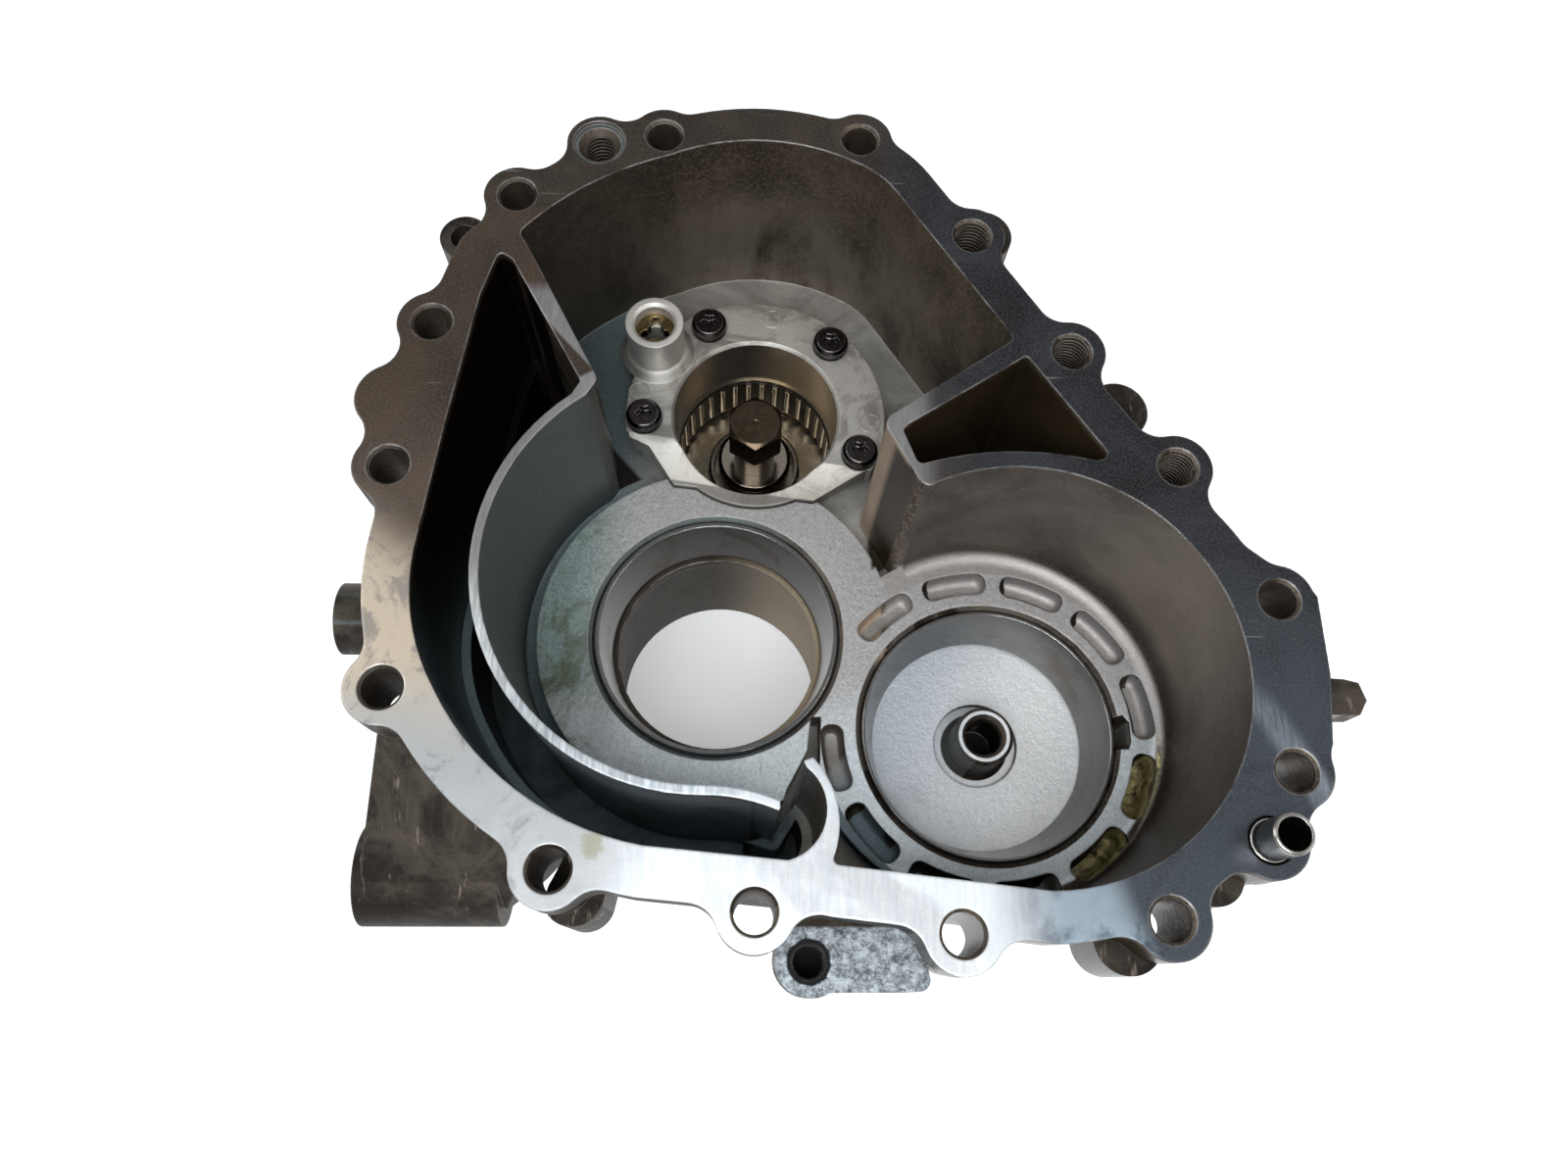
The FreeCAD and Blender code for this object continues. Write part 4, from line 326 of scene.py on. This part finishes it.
def flange_colour(m, stain, broad):
    """The machined flange, with painted reflection over stain: silver along the bottom, tan at the upper
    left, slate at the right.
    """
    brushed = m.noise(1.0, 4.0, 0.65, 0.0, m.stretched(700.0, 90.0, 1.0, 0.5))
    fine = m.noise(1500.0, 2.0, 0.8)
    wander = m.both(m.sum("SUBTRACT", broad, 0.5), 0.045)
    # the tan, slate, white and steel tones are painted reflection laid over the stain
    tan = m.mix(stain, (0.105, 0.074, 0.052), (0.052, 0.038, 0.029))
    light_tan = m.mix(stain, (0.185, 0.140, 0.108), (0.095, 0.072, 0.056))
    tan = m.mix(m.both(m.rise(m.y, 0.060, 0.010), 0.8), tan, light_tan)
    dark_tan = m.mix(stain, (0.085, 0.068, 0.054), (0.042, 0.034, 0.028))
    tan = m.mix(m.both(m.rise(m.y, 0.095, 0.125), 0.7), tan, dark_tan)
    slate = m.mix(stain, (0.058, 0.060, 0.068), (0.022, 0.022, 0.026))
    light_slate = m.mix(stain, (0.100, 0.122, 0.150), (0.038, 0.046, 0.058))
    slate = m.mix(m.both(m.rise(m.y, 0.020, -0.050), 0.7), slate, light_slate)
    upper = m.mix(m.rise(m.sum("ADD", m.x, wander), 0.030, 0.075), tan, slate)
    warm = m.mix(stain, (0.86, 0.73, 0.57), (0.50, 0.43, 0.35))
    cool = m.mix(stain, (0.60, 0.62, 0.63), (0.36, 0.37, 0.385))
    white = m.mix(m.rise(brushed, 0.30, 0.70), (0.86, 0.88, 0.90), (0.70, 0.74, 0.78))
    white = m.mix(m.both(stain, 0.45), white, (0.58, 0.63, 0.66))
    steel = m.mix(m.rise(stain, 0.15, 0.70), (0.40, 0.49, 0.57), (0.085, 0.115, 0.150))
    lower = m.mix(m.rise(m.sum("ADD", m.y, wander), -0.020, -0.055), warm, cool)
    lower = m.mix(m.rise(m.sum("ADD", m.x, wander), -0.032, -0.012), lower, white)
    lower = m.mix(m.rise(m.sum("ADD", m.x, wander), 0.062, 0.086), lower, steel)
    smudge = m.rise(m.noise(58.0, 8.0, 0.74, 1.3), 0.50, 0.62)
    west = m.rise(m.sum("ADD", m.x, wander), -0.020, -0.040)
    lower = m.mix(m.both(smudge, m.both(west, 0.6)), lower, (0.235, 0.235, 0.250))
    # turn marks where the painted reflection passes from the bright lower flange to the darker upper flange
    corner = m.rise(m.x, 0.096, 0.116, 0.0, 0.035)
    turn = m.rise(m.sum("ADD", m.slope(0.47, 1.0, 0.0274), m.sum("ADD", wander, corner)), -0.018, 0.008)
    machined = m.mix(turn, lower, upper)
    # a painted highlight low on the right, dried oil near the lower left bolt
    bright_patch = m.rise(m.sum("ABSOLUTE", m.slope(0.88, 0.475, -0.10918)), 0.0055, 0.0010)
    bright_patch = m.both(bright_patch, m.both(m.rise(m.y, -0.028, -0.042), m.rise(m.x, 0.135, 0.140)))
    machined = m.mix(m.both(bright_patch, m.rise(brushed, 0.20, 0.70)), machined, (0.30, 0.345, 0.40))
    dried = m.rise(m.sum("ADD", m.reach((-0.0277, -0.0746)), m.both(m.noise(300.0), 0.006)), 0.0068, 0.0050)
    machined = m.mix(m.both(dried, 0.6), machined, (0.30, 0.30, 0.16))
    # pale scratches, and a little of the brushing everywhere
    scratch = m.rise(m.noise(1.0, 2.0, 0.6, 0.15, m.stretched(26.0, 620.0, 1.0, 0.9)), 0.700, 0.735)
    machined = m.mix(m.both(scratch, m.both(turn, 0.55)), machined, (0.30, 0.30, 0.31))
    machined = m.mix(m.both(m.rise(fine, 0.40, 0.80), 0.22), machined, (0.34, 0.335, 0.33))
    # the webs' tops keep their own painted reflection, brighter than the flange beside them
    web_top = m.both(m.rise(m.reach(WEB_CENTRE), 0.0668, 0.0655), m.rise(m.x, 0.020, 0.0))
    straight = m.rise(m.sum("ABSOLUTE", m.slope(*STRAIGHT_WALL)), 0.0065, 0.0055)
    straight = m.both(straight, m.both(m.rise(m.y, 0.040, 0.045), m.rise(m.y, 0.088, 0.082)))
    rim = m.both(m.rise(m.x, 0.043, 0.045), m.rise(m.x, 0.064, 0.056))
    rim = m.both(rim, m.both(m.rise(m.y, 0.012, 0.015), m.rise(m.y, 0.060, 0.050)))
    shine = m.mix(brushed, (0.20, 0.19, 0.18), (0.48, 0.48, 0.49))
    machined = m.mix(m.both(m.either(web_top, m.either(straight, rim)), m.both(turn, 0.85)), machined, shine)
    cold = m.mix(m.rise(brushed, 0.35, 0.65), (0.40, 0.46, 0.50), (0.80, 0.86, 0.90))
    return m.mix(m.both(web_top, m.both(m.less(turn), 0.8)), machined, cold)


def cast_aluminium():
    """The casting: rough cast skin, machined flange and bores, oil-stained chambers with painted light and
    shade, and dirty outside.
    """
    m = Finish("cast_aluminium", 1.0, 0.4, 0.3)
    at = CastingPlaces(m)
    patches = m.noise(22.0, 5.0, 0.6, 0.4)
    broad = m.noise(11.0, 3.0, 0.5, 0.3)
    stain = m.rise(m.noise(30.0, 7.0, 0.66, 0.7), 0.36, 0.66)
    recess = m.both(m.rise(at.lower, 0.0448, 0.0456), m.rise(at.lobe, 0.0590, 0.0583))
    recess = m.both(recess, m.rise(m.z, 0.0843, 0.0835))
    recess = m.both(recess, m.rise(m.reach(OUTPUT_AXIS), 0.055, 0.058))
    recess = m.either(recess, at.band)
    wet = m.both(recess, m.both(m.rise(m.x, 0.100, 0.118), m.rise(m.y, -0.030, -0.040)))
    colour = chamber_colour(m, at, patches)
    colour = m.mix(at.face, colour, bearing_face_colour(m, patches))
    colour = window_colour(m, colour, recess, wet)
    # oil and painted shade keep the sump almost black, with a painted blue sheen low down, and the pocket
    # brown
    oil_and_sheen = m.noise(26.0, 4.0, 0.6, 0.5)
    sheen = m.both(m.rise(m.y, 0.000, -0.050), m.rise(oil_and_sheen, 0.30, 0.60))
    dark = m.mix(sheen, (0.005, 0.003, 0.002), (0.110, 0.150, 0.170))
    # a painted highlight in pale teal along the sump's ledge
    ledge = m.both(at.upward, m.both(m.rise(m.z, 0.080, 0.084), m.rise(m.x, 0.010, -0.005)))
    ledge = m.both(ledge, m.rise(m.y, 0.045, -0.030))
    dark = m.mix(ledge, dark, m.mix(oil_and_sheen, (0.13, 0.19, 0.20), (0.26, 0.35, 0.37)))
    # a painted grey sheen on the walls towards the front
    near = m.both(m.rise(m.y, -0.032, -0.050), m.less(at.upward))
    dark = m.mix(m.both(near, 0.8), dark, m.mix(oil_and_sheen, (0.060, 0.070, 0.080), (0.30, 0.32, 0.34)))
    colour = m.mix(at.sump, colour, dark)
    # the axle tube's wall carries painted shade at the left and a painted warm reflection at the right
    tube = m.mix(m.noise(120.0, 5.0, 0.65, 0.4), (0.020, 0.016, 0.012), (0.085, 0.070, 0.054))
    tube = m.mix(m.rise(m.x, -0.004, 0.030), tube, (0.36, 0.29, 0.20))
    colour = m.mix(at.tube, colour, tube)
    # painted shade fills the spray hole
    colour = m.mix(at.spray, colour, (0.008, 0.007, 0.006))
    colour = m.mix(at.pocket, colour, m.mix(oil_and_sheen, (0.006, 0.004, 0.002), (0.060, 0.042, 0.022)))
    colour = m.mix(at.outside, colour, outside_colour(m, patches))
    machined = flange_colour(m, stain, broad)
    colour = m.mix(at.deck, colour, machined)
    # bare metal shows where edges are rubbed
    round_edge = m.rounded(0.0008)
    edge = m.both(m.worn(round_edge), m.rise(m.noise(140.0, 4.0, 0.6), 0.32, 0.60))
    bare = m.mix(at.outside, (0.42, 0.41, 0.40), (0.16, 0.145, 0.13))
    edge = m.both(edge, m.less(m.either(at.sump, m.either(at.pocket, wet))))
    colour = m.mix(m.both(edge, 0.75), colour, bare)
    # hole walls are darkened to brown with painted shade, and the wells' mouths dark
    brown = m.mix(m.noise(300.0, 4.0, 0.7), (0.016, 0.011, 0.008), (0.130, 0.100, 0.075))
    colour = m.mix(m.both(at.hole, m.less(m.rise(m.z, 0.1475, 0.1485))), colour, brown)
    # roughness, metal and relief
    oily = m.either(at.sump, m.either(at.pocket, wet))
    skin_rough = m.blend(oily, m.sum("ADD", m.both(patches, 0.16), 0.44), 0.26)
    skin_rough = m.blend(at.outside, skin_rough, m.sum("ADD", m.both(patches, 0.20), 0.50))
    roughness = m.blend(at.deck, skin_rough, m.sum("ADD", m.both(stain, 0.20), 0.30))
    metallic = m.blend(at.outside, m.blend(oily, 0.70, 0.35), 0.70)
    metallic = m.blend(at.deck, metallic, 0.95)
    sand = m.sum("ADD", m.noise(1100.0, 3.0, 0.8), m.both(m.noise(380.0, 3.0, 0.6), 0.9))
    coarse = m.both(m.noise(150.0, 4.0, 0.6), 0.8)
    cast_normal = m.bump(m.sum("ADD", sand, coarse), 0.00018, 0.85, round_edge)
    milled = m.noise(1.0, 3.0, 0.6, 0.0, m.stretched(600.0, 50.0, 1.0, 0.5))
    flat_normal = m.bump(milled, 0.00003, 0.3, round_edge)
    normal = m.add("ShaderNodeMix", data_type="VECTOR")
    m.feed(normal.inputs[0], at.deck)
    m.feed(normal.inputs[4], cast_normal)
    m.feed(normal.inputs[5], flat_normal)
    return m.finish(colour, roughness, normal.outputs[1], metallic)


def retainer_aluminium():
    """Pale, matt die casting with painted cool light at its left, and a polished bore that is tan at the
    right from a painted warm reflection.
    """
    m = Finish("retainer_aluminium", 0.80)
    patches = m.noise(60.0, 4.0, 0.6, 0.3)
    speck = m.noise(1000.0, 3.0, 0.85)
    grime = m.rise(m.noise(48.0, 7.0, 0.70, 1.2), 0.46, 0.62)
    skin = m.mix(patches, (0.36, 0.34, 0.31), (0.58, 0.56, 0.52))
    skin = m.mix(m.both(m.rise(speck, 0.42, 0.72), 0.40), skin, (0.70, 0.675, 0.63))
    skin = m.mix(m.both(grime, 0.55), skin, (0.105, 0.088, 0.068))
    # painted cool light tints the left bluish
    left = m.rise(m.x, -0.005, -0.030)
    skin = m.mix(m.both(left, 0.4), skin, (0.19, 0.215, 0.22))
    low = m.rise(m.y, 0.064, 0.046)
    skin = m.mix(m.both(low, 0.6), skin, (0.13, 0.115, 0.095))
    boss = m.rise(m.z, 0.0925, 0.0940)
    skin = m.mix(m.both(boss, 0.6), skin, (0.86, 0.83, 0.78))
    round_edge = m.rounded(0.0006)
    skin = m.mix(m.both(m.worn(round_edge), 0.5), skin, (0.66, 0.64, 0.60))
    reach = m.reach(SHAFT_AXIS)
    bore = m.both(m.rise(reach, 0.0292, 0.0286), m.rise(m.up, 0.5, 0.3))
    turned = m.noise(1.0, 3.0, 0.6, 0.0, m.stretched(3.0, 3.0, 1900.0))
    ragged = m.both(m.noise(60.0, 2.0, 0.5, 0.0, m.stretched(60.0, 60.0, 4.0)), 0.012)
    # the bore's tan right side is a painted warm reflection
    tan = m.rise(m.sum("ADD", m.x, ragged), 0.012, 0.034)
    polished = m.mix(turned, (0.060, 0.052, 0.043), (0.19, 0.172, 0.150))
    polished = m.mix(tan, polished, m.mix(turned, (0.33, 0.235, 0.145), (0.62, 0.50, 0.36)))
    colour = m.mix(bore, skin, polished)
    roughness = m.blend(bore, m.sum("ADD", m.both(patches, 0.15), 0.42), 0.22)
    normal = m.bump(m.noise(1400.0, 3.0, 0.7), 0.00006, 0.6, round_edge)
    return m.finish(colour, roughness, normal)


def plain_steel(name, dark, light, roughness, grain=700.0, tint=None, metallic=1.0, edge=None):
    """Turned, ground or oxidised steel with fine marks, a film of oil and pale edges, worn on most parts and
    a painted highlight on the black screws.
    """
    m = Finish(name, metallic)
    marks = m.noise(grain, 3.0, 0.6)
    oil = m.rise(m.noise(90.0, 4.0, 0.6, 0.8), 0.50, 0.72)
    colour = m.mix(marks, dark, light)
    if tint:
        colour = m.mix(m.both(oil, 0.6), colour, tint)
    round_edge = m.rounded(0.0005 if edge else 0.0003)
    if edge:
        colour = m.mix(m.both(m.worn(round_edge), 0.8), colour, edge)
    rough = m.sum("ADD", m.both(oil, 0.14), roughness)
    return m.finish(colour, rough, m.bump(marks, 0.00003, 0.5, round_edge))


def cup_steel():
    """Ground bearing cups: dark mirror raceways with fine turning rings and a pale worn rim."""
    m = Finish("cup_steel")
    rings = m.noise(1.0, 3.0, 0.6, 0.0, m.stretched(4.0, 4.0, 2600.0))
    oil = m.rise(m.noise(50.0, 4.0, 0.6, 0.5), 0.50, 0.70)
    race = m.mix(rings, (0.075, 0.073, 0.072), (0.20, 0.195, 0.19))
    race = m.mix(m.both(oil, 0.5), race, (0.10, 0.075, 0.052))
    rim = m.mix(m.noise(1200.0, 2.0), (0.10, 0.10, 0.10), (0.24, 0.24, 0.24))
    round_edge = m.rounded(0.0004)
    colour = m.mix(m.rise(m.up, 0.6, 0.9), race, rim)
    colour = m.mix(m.both(m.worn(round_edge), 0.85), colour, (0.62, 0.61, 0.60))
    rough = m.sum("ADD", m.both(oil, 0.1), 0.15)
    return m.finish(colour, rough, m.bump(rings, 0.00002, 0.4, round_edge))


def seal_rubber():
    m = Finish("seal_rubber", 0.0)
    dust = m.noise(120.0, 4.0, 0.6)
    colour = m.mix(dust, (0.018, 0.018, 0.018), (0.055, 0.052, 0.048))
    return m.finish(colour, m.sum("ADD", m.both(dust, 0.2), 0.5), m.bump(m.noise(900.0), 0.00005, 0.6))


CAST_METAL = cast_aluminium()
RETAINER_METAL = retainer_aluminium()
FINISHES = {
    "housing_casting": CAST_METAL,
    "bearing_retainer": RETAINER_METAL,
    "oil_nozzle_insert": plain_steel("insert_brass", (0.055, 0.038, 0.014), (0.21, 0.155, 0.070), 0.24, 500.0,
                                     (0.030, 0.020, 0.008), 1.0, (0.50, 0.40, 0.22)),
    "output_bearing_cup": cup_steel(),
    "hub_bolt": plain_steel("bolt_steel", (0.030, 0.020, 0.013), (0.105, 0.076, 0.054), 0.22, 400.0,
                            (0.045, 0.027, 0.012), 1.0, (0.32, 0.25, 0.19)),
    "bolt_collar": plain_steel("collar_steel", (0.16, 0.135, 0.105), (0.44, 0.395, 0.335), 0.14, 900.0,
                               (0.10, 0.070, 0.040)),
    "output_shaft": plain_steel("shaft_steel", (0.10, 0.088, 0.070), (0.30, 0.27, 0.225), 0.22, 700.0,
                                (0.080, 0.055, 0.030), 1.0, (0.66, 0.60, 0.52)),
    "needle_rollers": plain_steel("needle_steel", (0.13, 0.115, 0.095), (0.42, 0.385, 0.335), 0.10, 900.0),
    "needle_shell": plain_steel("shell_steel", (0.14, 0.118, 0.088), (0.36, 0.315, 0.250), 0.16, 900.0,
                                (0.11, 0.075, 0.038)),
    "needle_cage": plain_steel("cage_steel", (0.020, 0.017, 0.014), (0.070, 0.062, 0.052), 0.32, 500.0,
                               (0.040, 0.026, 0.014)),
    "locating_dowel": plain_steel("dowel_steel", (0.12, 0.105, 0.090), (0.40, 0.375, 0.345), 0.24, 500.0,
                                  (0.075, 0.050, 0.033), 1.0, (0.72, 0.71, 0.69)),
    "output_bearing_shim": plain_steel("shim_steel", (0.25, 0.25, 0.25), (0.50, 0.50, 0.50), 0.30),
    "bearing_circlip": plain_steel("circlip_steel", (0.05, 0.05, 0.055), (0.13, 0.13, 0.14), 0.35),
    "rear_shaft_seal": seal_rubber(),
    "thrust_washer": plain_steel("washer_steel", (0.17, 0.145, 0.105), (0.40, 0.355, 0.275), 0.26, 700.0,
                                 (0.17, 0.105, 0.040)),
    "rear_bearing_outer": plain_steel("bearing_steel", (0.40, 0.40, 0.41), (0.68, 0.68, 0.69), 0.15),
    # the black screws' pale edge colour is a painted highlight on their rims and sockets
    "retainer_screw_1": plain_steel("screw_black", (0.010, 0.008, 0.010), (0.065, 0.058, 0.062), 0.22, 400.0,
                                    (0.040, 0.024, 0.014), 1.0, (0.42, 0.40, 0.40)),
}
SAME_FINISH = {
    "lower_bearing_cup": "output_bearing_cup",
    "lower_bearing_shim": "output_bearing_shim",
    "rear_bearing_inner": "rear_bearing_outer",
    "rear_bearing_balls": "rear_bearing_outer",
    "rear_bearing_cage": "needle_cage",
    "retainer_screw_2": "retainer_screw_1",
    "retainer_screw_3": "retainer_screw_1",
    "retainer_screw_4": "retainer_screw_1",
}
for name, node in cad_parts.items():
    node.data.materials.clear()
    node.data.materials.append(FINISHES[SAME_FINISH.get(name, name)])


class Repeater:
    """A Geometry Nodes tree that puts one small shape on every point of a mesh."""

    def __init__(self, name, sizes, metal):
        self.tree = bpy.data.node_groups.new(name, "GeometryNodeTree")
        face = self.tree.interface
        face.new_socket("Geometry", in_out="INPUT", socket_type="NodeSocketGeometry")
        face.new_socket("Geometry", in_out="OUTPUT", socket_type="NodeSocketGeometry")
        self.identifiers = {}
        for size_name in sizes:
            socket = face.new_socket(size_name, in_out="INPUT", socket_type="NodeSocketFloat")
            self.identifiers[size_name] = socket.identifier
        self.inward = self.tree.nodes.new("NodeGroupInput")
        self.metal = metal

    def add(self, kind, **links):
        """A node whose inputs, named with spaces for underscores, are linked or set."""
        node = self.tree.nodes.new(kind)
        for name, value in links.items():
            self.feed(node.inputs[name.replace("_", " ")], value)
        return node

    def feed(self, socket, value):
        if isinstance(value, bpy.types.NodeSocket):
            self.tree.links.new(value, socket)
        else:
            socket.default_value = value

    def close(self, shape):
        """Instances of the shape on the points, made real, in their metal."""
        points = self.inward.outputs["Geometry"]
        spread = self.add("GeometryNodeInstanceOnPoints", Points=points, Instance=shape)
        real = self.add("GeometryNodeRealizeInstances", Geometry=spread.outputs[0])
        dressed = self.add("GeometryNodeSetMaterial", Geometry=real.outputs[0], Material=self.metal)
        self.add("NodeGroupOutput", Geometry=dressed.outputs[0])

    def lay(self, name, points, sizes, body, slot):
        """Run the tree on the points and keep the result as one plain piece of the body."""
        seeds = bpy.data.meshes.new(name + "_points")
        seeds.from_pydata(points, [], [])
        holder = bpy.data.objects.new(name + "_points", seeds)
        bpy.context.scene.collection.objects.link(holder)
        modifier = holder.modifiers.new("repeat", "NODES")
        modifier.node_group = self.tree
        for size_name, value in sizes.items():
            modifier[self.identifiers[size_name]] = value
        scene_now = bpy.context.evaluated_depsgraph_get()
        mesh = bpy.data.meshes.new_from_object(holder.evaluated_get(scene_now))
        bpy.data.objects.remove(holder)
        mesh.name = name
        piece = bpy.data.objects.new(name, mesh)
        bpy.context.scene.collection.objects.link(piece)
        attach(piece, body)
        return piece


def thread_tree():
    """Turns of screw thread that stand in from a hole's wall."""
    tree = Repeater("screw_thread", ("Hole radius", "Turns", "Length", "Ridge"), CAST_METAL)
    sizes = tree.inward.outputs
    hole_radius = sizes["Hole radius"]
    helix = tree.add("GeometryNodeCurveSpiral", Resolution=28, Rotations=sizes["Turns"],
                     Start_Radius=hole_radius, End_Radius=hole_radius, Height=sizes["Length"])
    ridge = tree.add("GeometryNodeCurvePrimitiveCircle", Resolution=4, Radius=sizes["Ridge"])
    thread = tree.add("GeometryNodeCurveToMesh", Curve=helix.outputs[0], Profile_Curve=ridge.outputs[0],
                      Fill_Caps=True)
    tree.close(thread.outputs[0])
    return tree


def mark_tree():
    """Low rings left by the ejector pins of the die."""
    tree = Repeater("ejector_mark", ("Mark radius", "Bead"), RETAINER_METAL)
    sizes = tree.inward.outputs
    ring = tree.add("GeometryNodeCurvePrimitiveCircle", Resolution=40, Radius=sizes["Mark radius"])
    bead = tree.add("GeometryNodeCurvePrimitiveCircle", Resolution=8, Radius=sizes["Bead"])
    mark = tree.add("GeometryNodeCurveToMesh", Curve=ring.outputs[0], Profile_Curve=bead.outputs[0])
    tree.close(mark.outputs[0])
    return tree


THREADS = thread_tree()
THREADS.lay("flange_hole_threads", [(x, y, 0.127) for x, y in BOLT_AXES[3:6]],
            {"Hole radius": 0.00525, "Turns": 14.0, "Length": 0.021, "Ridge": 0.00042},
            "case", "cast_aluminium")
THREADS.lay("spare_hole_thread", [(SPARE_AXIS[0], SPARE_AXIS[1], 0.1275)],
            {"Hole radius": 0.0048, "Turns": 13.0, "Length": 0.0195, "Ridge": 0.0004},
            "case", "cast_aluminium")
THREADS.lay("lug_hole_thread", [(LUG_HOLE[0], LUG_HOLE[1], 0.1212)],
            {"Hole radius": 0.0043, "Turns": 8.0, "Length": 0.010, "Ridge": 0.0004},
            "case", "cast_aluminium")
MARKS = mark_tree()
MARKS.lay("retainer_ejector_marks",
          [(0.0176, 0.1143, 0.09095), (-0.0279, 0.0845, 0.09095), (0.0509, 0.0740, 0.09095)],
          {"Mark radius": 0.0034, "Bead": 0.00028}, "case", "retainer_aluminium")


def floor():
    """A plain pale floor that keeps the object's shadow and reads as white."""
    bpy.ops.mesh.primitive_plane_add(size=12.0, location=(0.0, 0.0, -0.0005))
    plane = bpy.context.object
    plane.name = "floor"
    paper = bpy.data.materials.new("pale_floor")
    paper.use_nodes = True
    tree = paper.node_tree
    shader = tree.nodes["Principled BSDF"]
    shader.inputs["Base Color"].default_value = FLOOR_COLOUR
    shader.inputs["Roughness"].default_value = 0.9
    shader.inputs["Specular IOR Level"].default_value = 0.0
    shader.inputs["Emission Color"].default_value = (1.0, 1.0, 1.0, 1.0)
    path = tree.nodes.new("ShaderNodeLightPath")
    seen = path.outputs["Is Camera Ray"]
    for ray in ("Is Glossy Ray", "Is Transmission Ray"):
        either = tree.nodes.new("ShaderNodeMath")
        either.operation = "MAXIMUM"
        tree.links.new(seen, either.inputs[0])
        tree.links.new(path.outputs[ray], either.inputs[1])
        seen = either.outputs[0]
    share = tree.nodes.new("ShaderNodeMath")
    share.operation = "MULTIPLY"
    share.inputs[1].default_value = FLOOR_GLOW
    tree.links.new(seen, share.inputs[0])
    tree.links.new(share.outputs[0], shader.inputs["Emission Strength"])
    plane.data.materials.append(paper)


def lamp(name, place, target, width, power, colour=(1.0, 1.0, 1.0)):
    light = bpy.data.lights.new(name, "AREA")
    light.shape = "SQUARE"
    light.size = width
    light.energy = power
    light.color = colour
    holder = bpy.data.objects.new(name, light)
    holder.location = place
    holder.rotation_euler = (Vector(target) - Vector(place)).to_track_quat("-Z", "Y").to_euler()
    bpy.context.scene.collection.objects.link(holder)


def studio():
    """Soft light: a large lamp over the near side, weaker ones at the sides, and an even surrounding."""
    lamp("key", (-0.10, -0.62, 1.20), (0.02, 0.0, 0.1), 0.8, 15.0, (0.96, 0.985, 1.0))
    lamp("fill", (-1.15, 0.25, 0.95), (0.02, 0.02, 0.1), 0.7, 5.0, (0.94, 0.98, 1.0))
    lamp("warm", (1.25, -0.35, 0.95), (0.02, 0.02, 0.1), 0.7, 4.0, (1.0, 0.93, 0.84))
    world = bpy.data.worlds.new("studio")
    world.use_nodes = True
    background = world.node_tree.nodes["Background"]
    background.inputs["Color"].default_value = (0.98, 0.99, 1.0, 1.0)
    background.inputs["Strength"].default_value = SURROUNDING
    bpy.context.scene.world = world
    bpy.context.scene.view_settings.view_transform = "Standard"


# The photograph's camera, recovered from the flange holes
CAMERA_PLACE = (0.00773, -0.1080, 0.43296)
FLANGE_NORMAL = (0.0430561, -0.3561741, -1.0)
LENS = 25.875


def camera():
    """The camera at the photograph's place, turned by the flange's normal in its own axes."""
    normal = Vector(FLANGE_NORMAL).normalized()
    along_x = (Vector((1.0, 0.0, 0.0)) - normal * normal.x).normalized()
    along_y = normal.cross(along_x)
    right, down, ahead = [Vector((along_x[i], along_y[i], normal[i])) for i in range(3)]
    turn = Matrix((right, -down, -ahead)).transposed()
    data = bpy.data.cameras.new("camera")
    data.lens = LENS
    data.sensor_width = 36.0
    data.clip_start = 0.01
    holder = bpy.data.objects.new("camera", data)
    holder.matrix_world = Matrix.Translation(CAMERA_PLACE) @ turn.to_4x4()
    bpy.context.scene.collection.objects.link(holder)
    bpy.context.scene.camera = holder


floor()
studio()
camera()
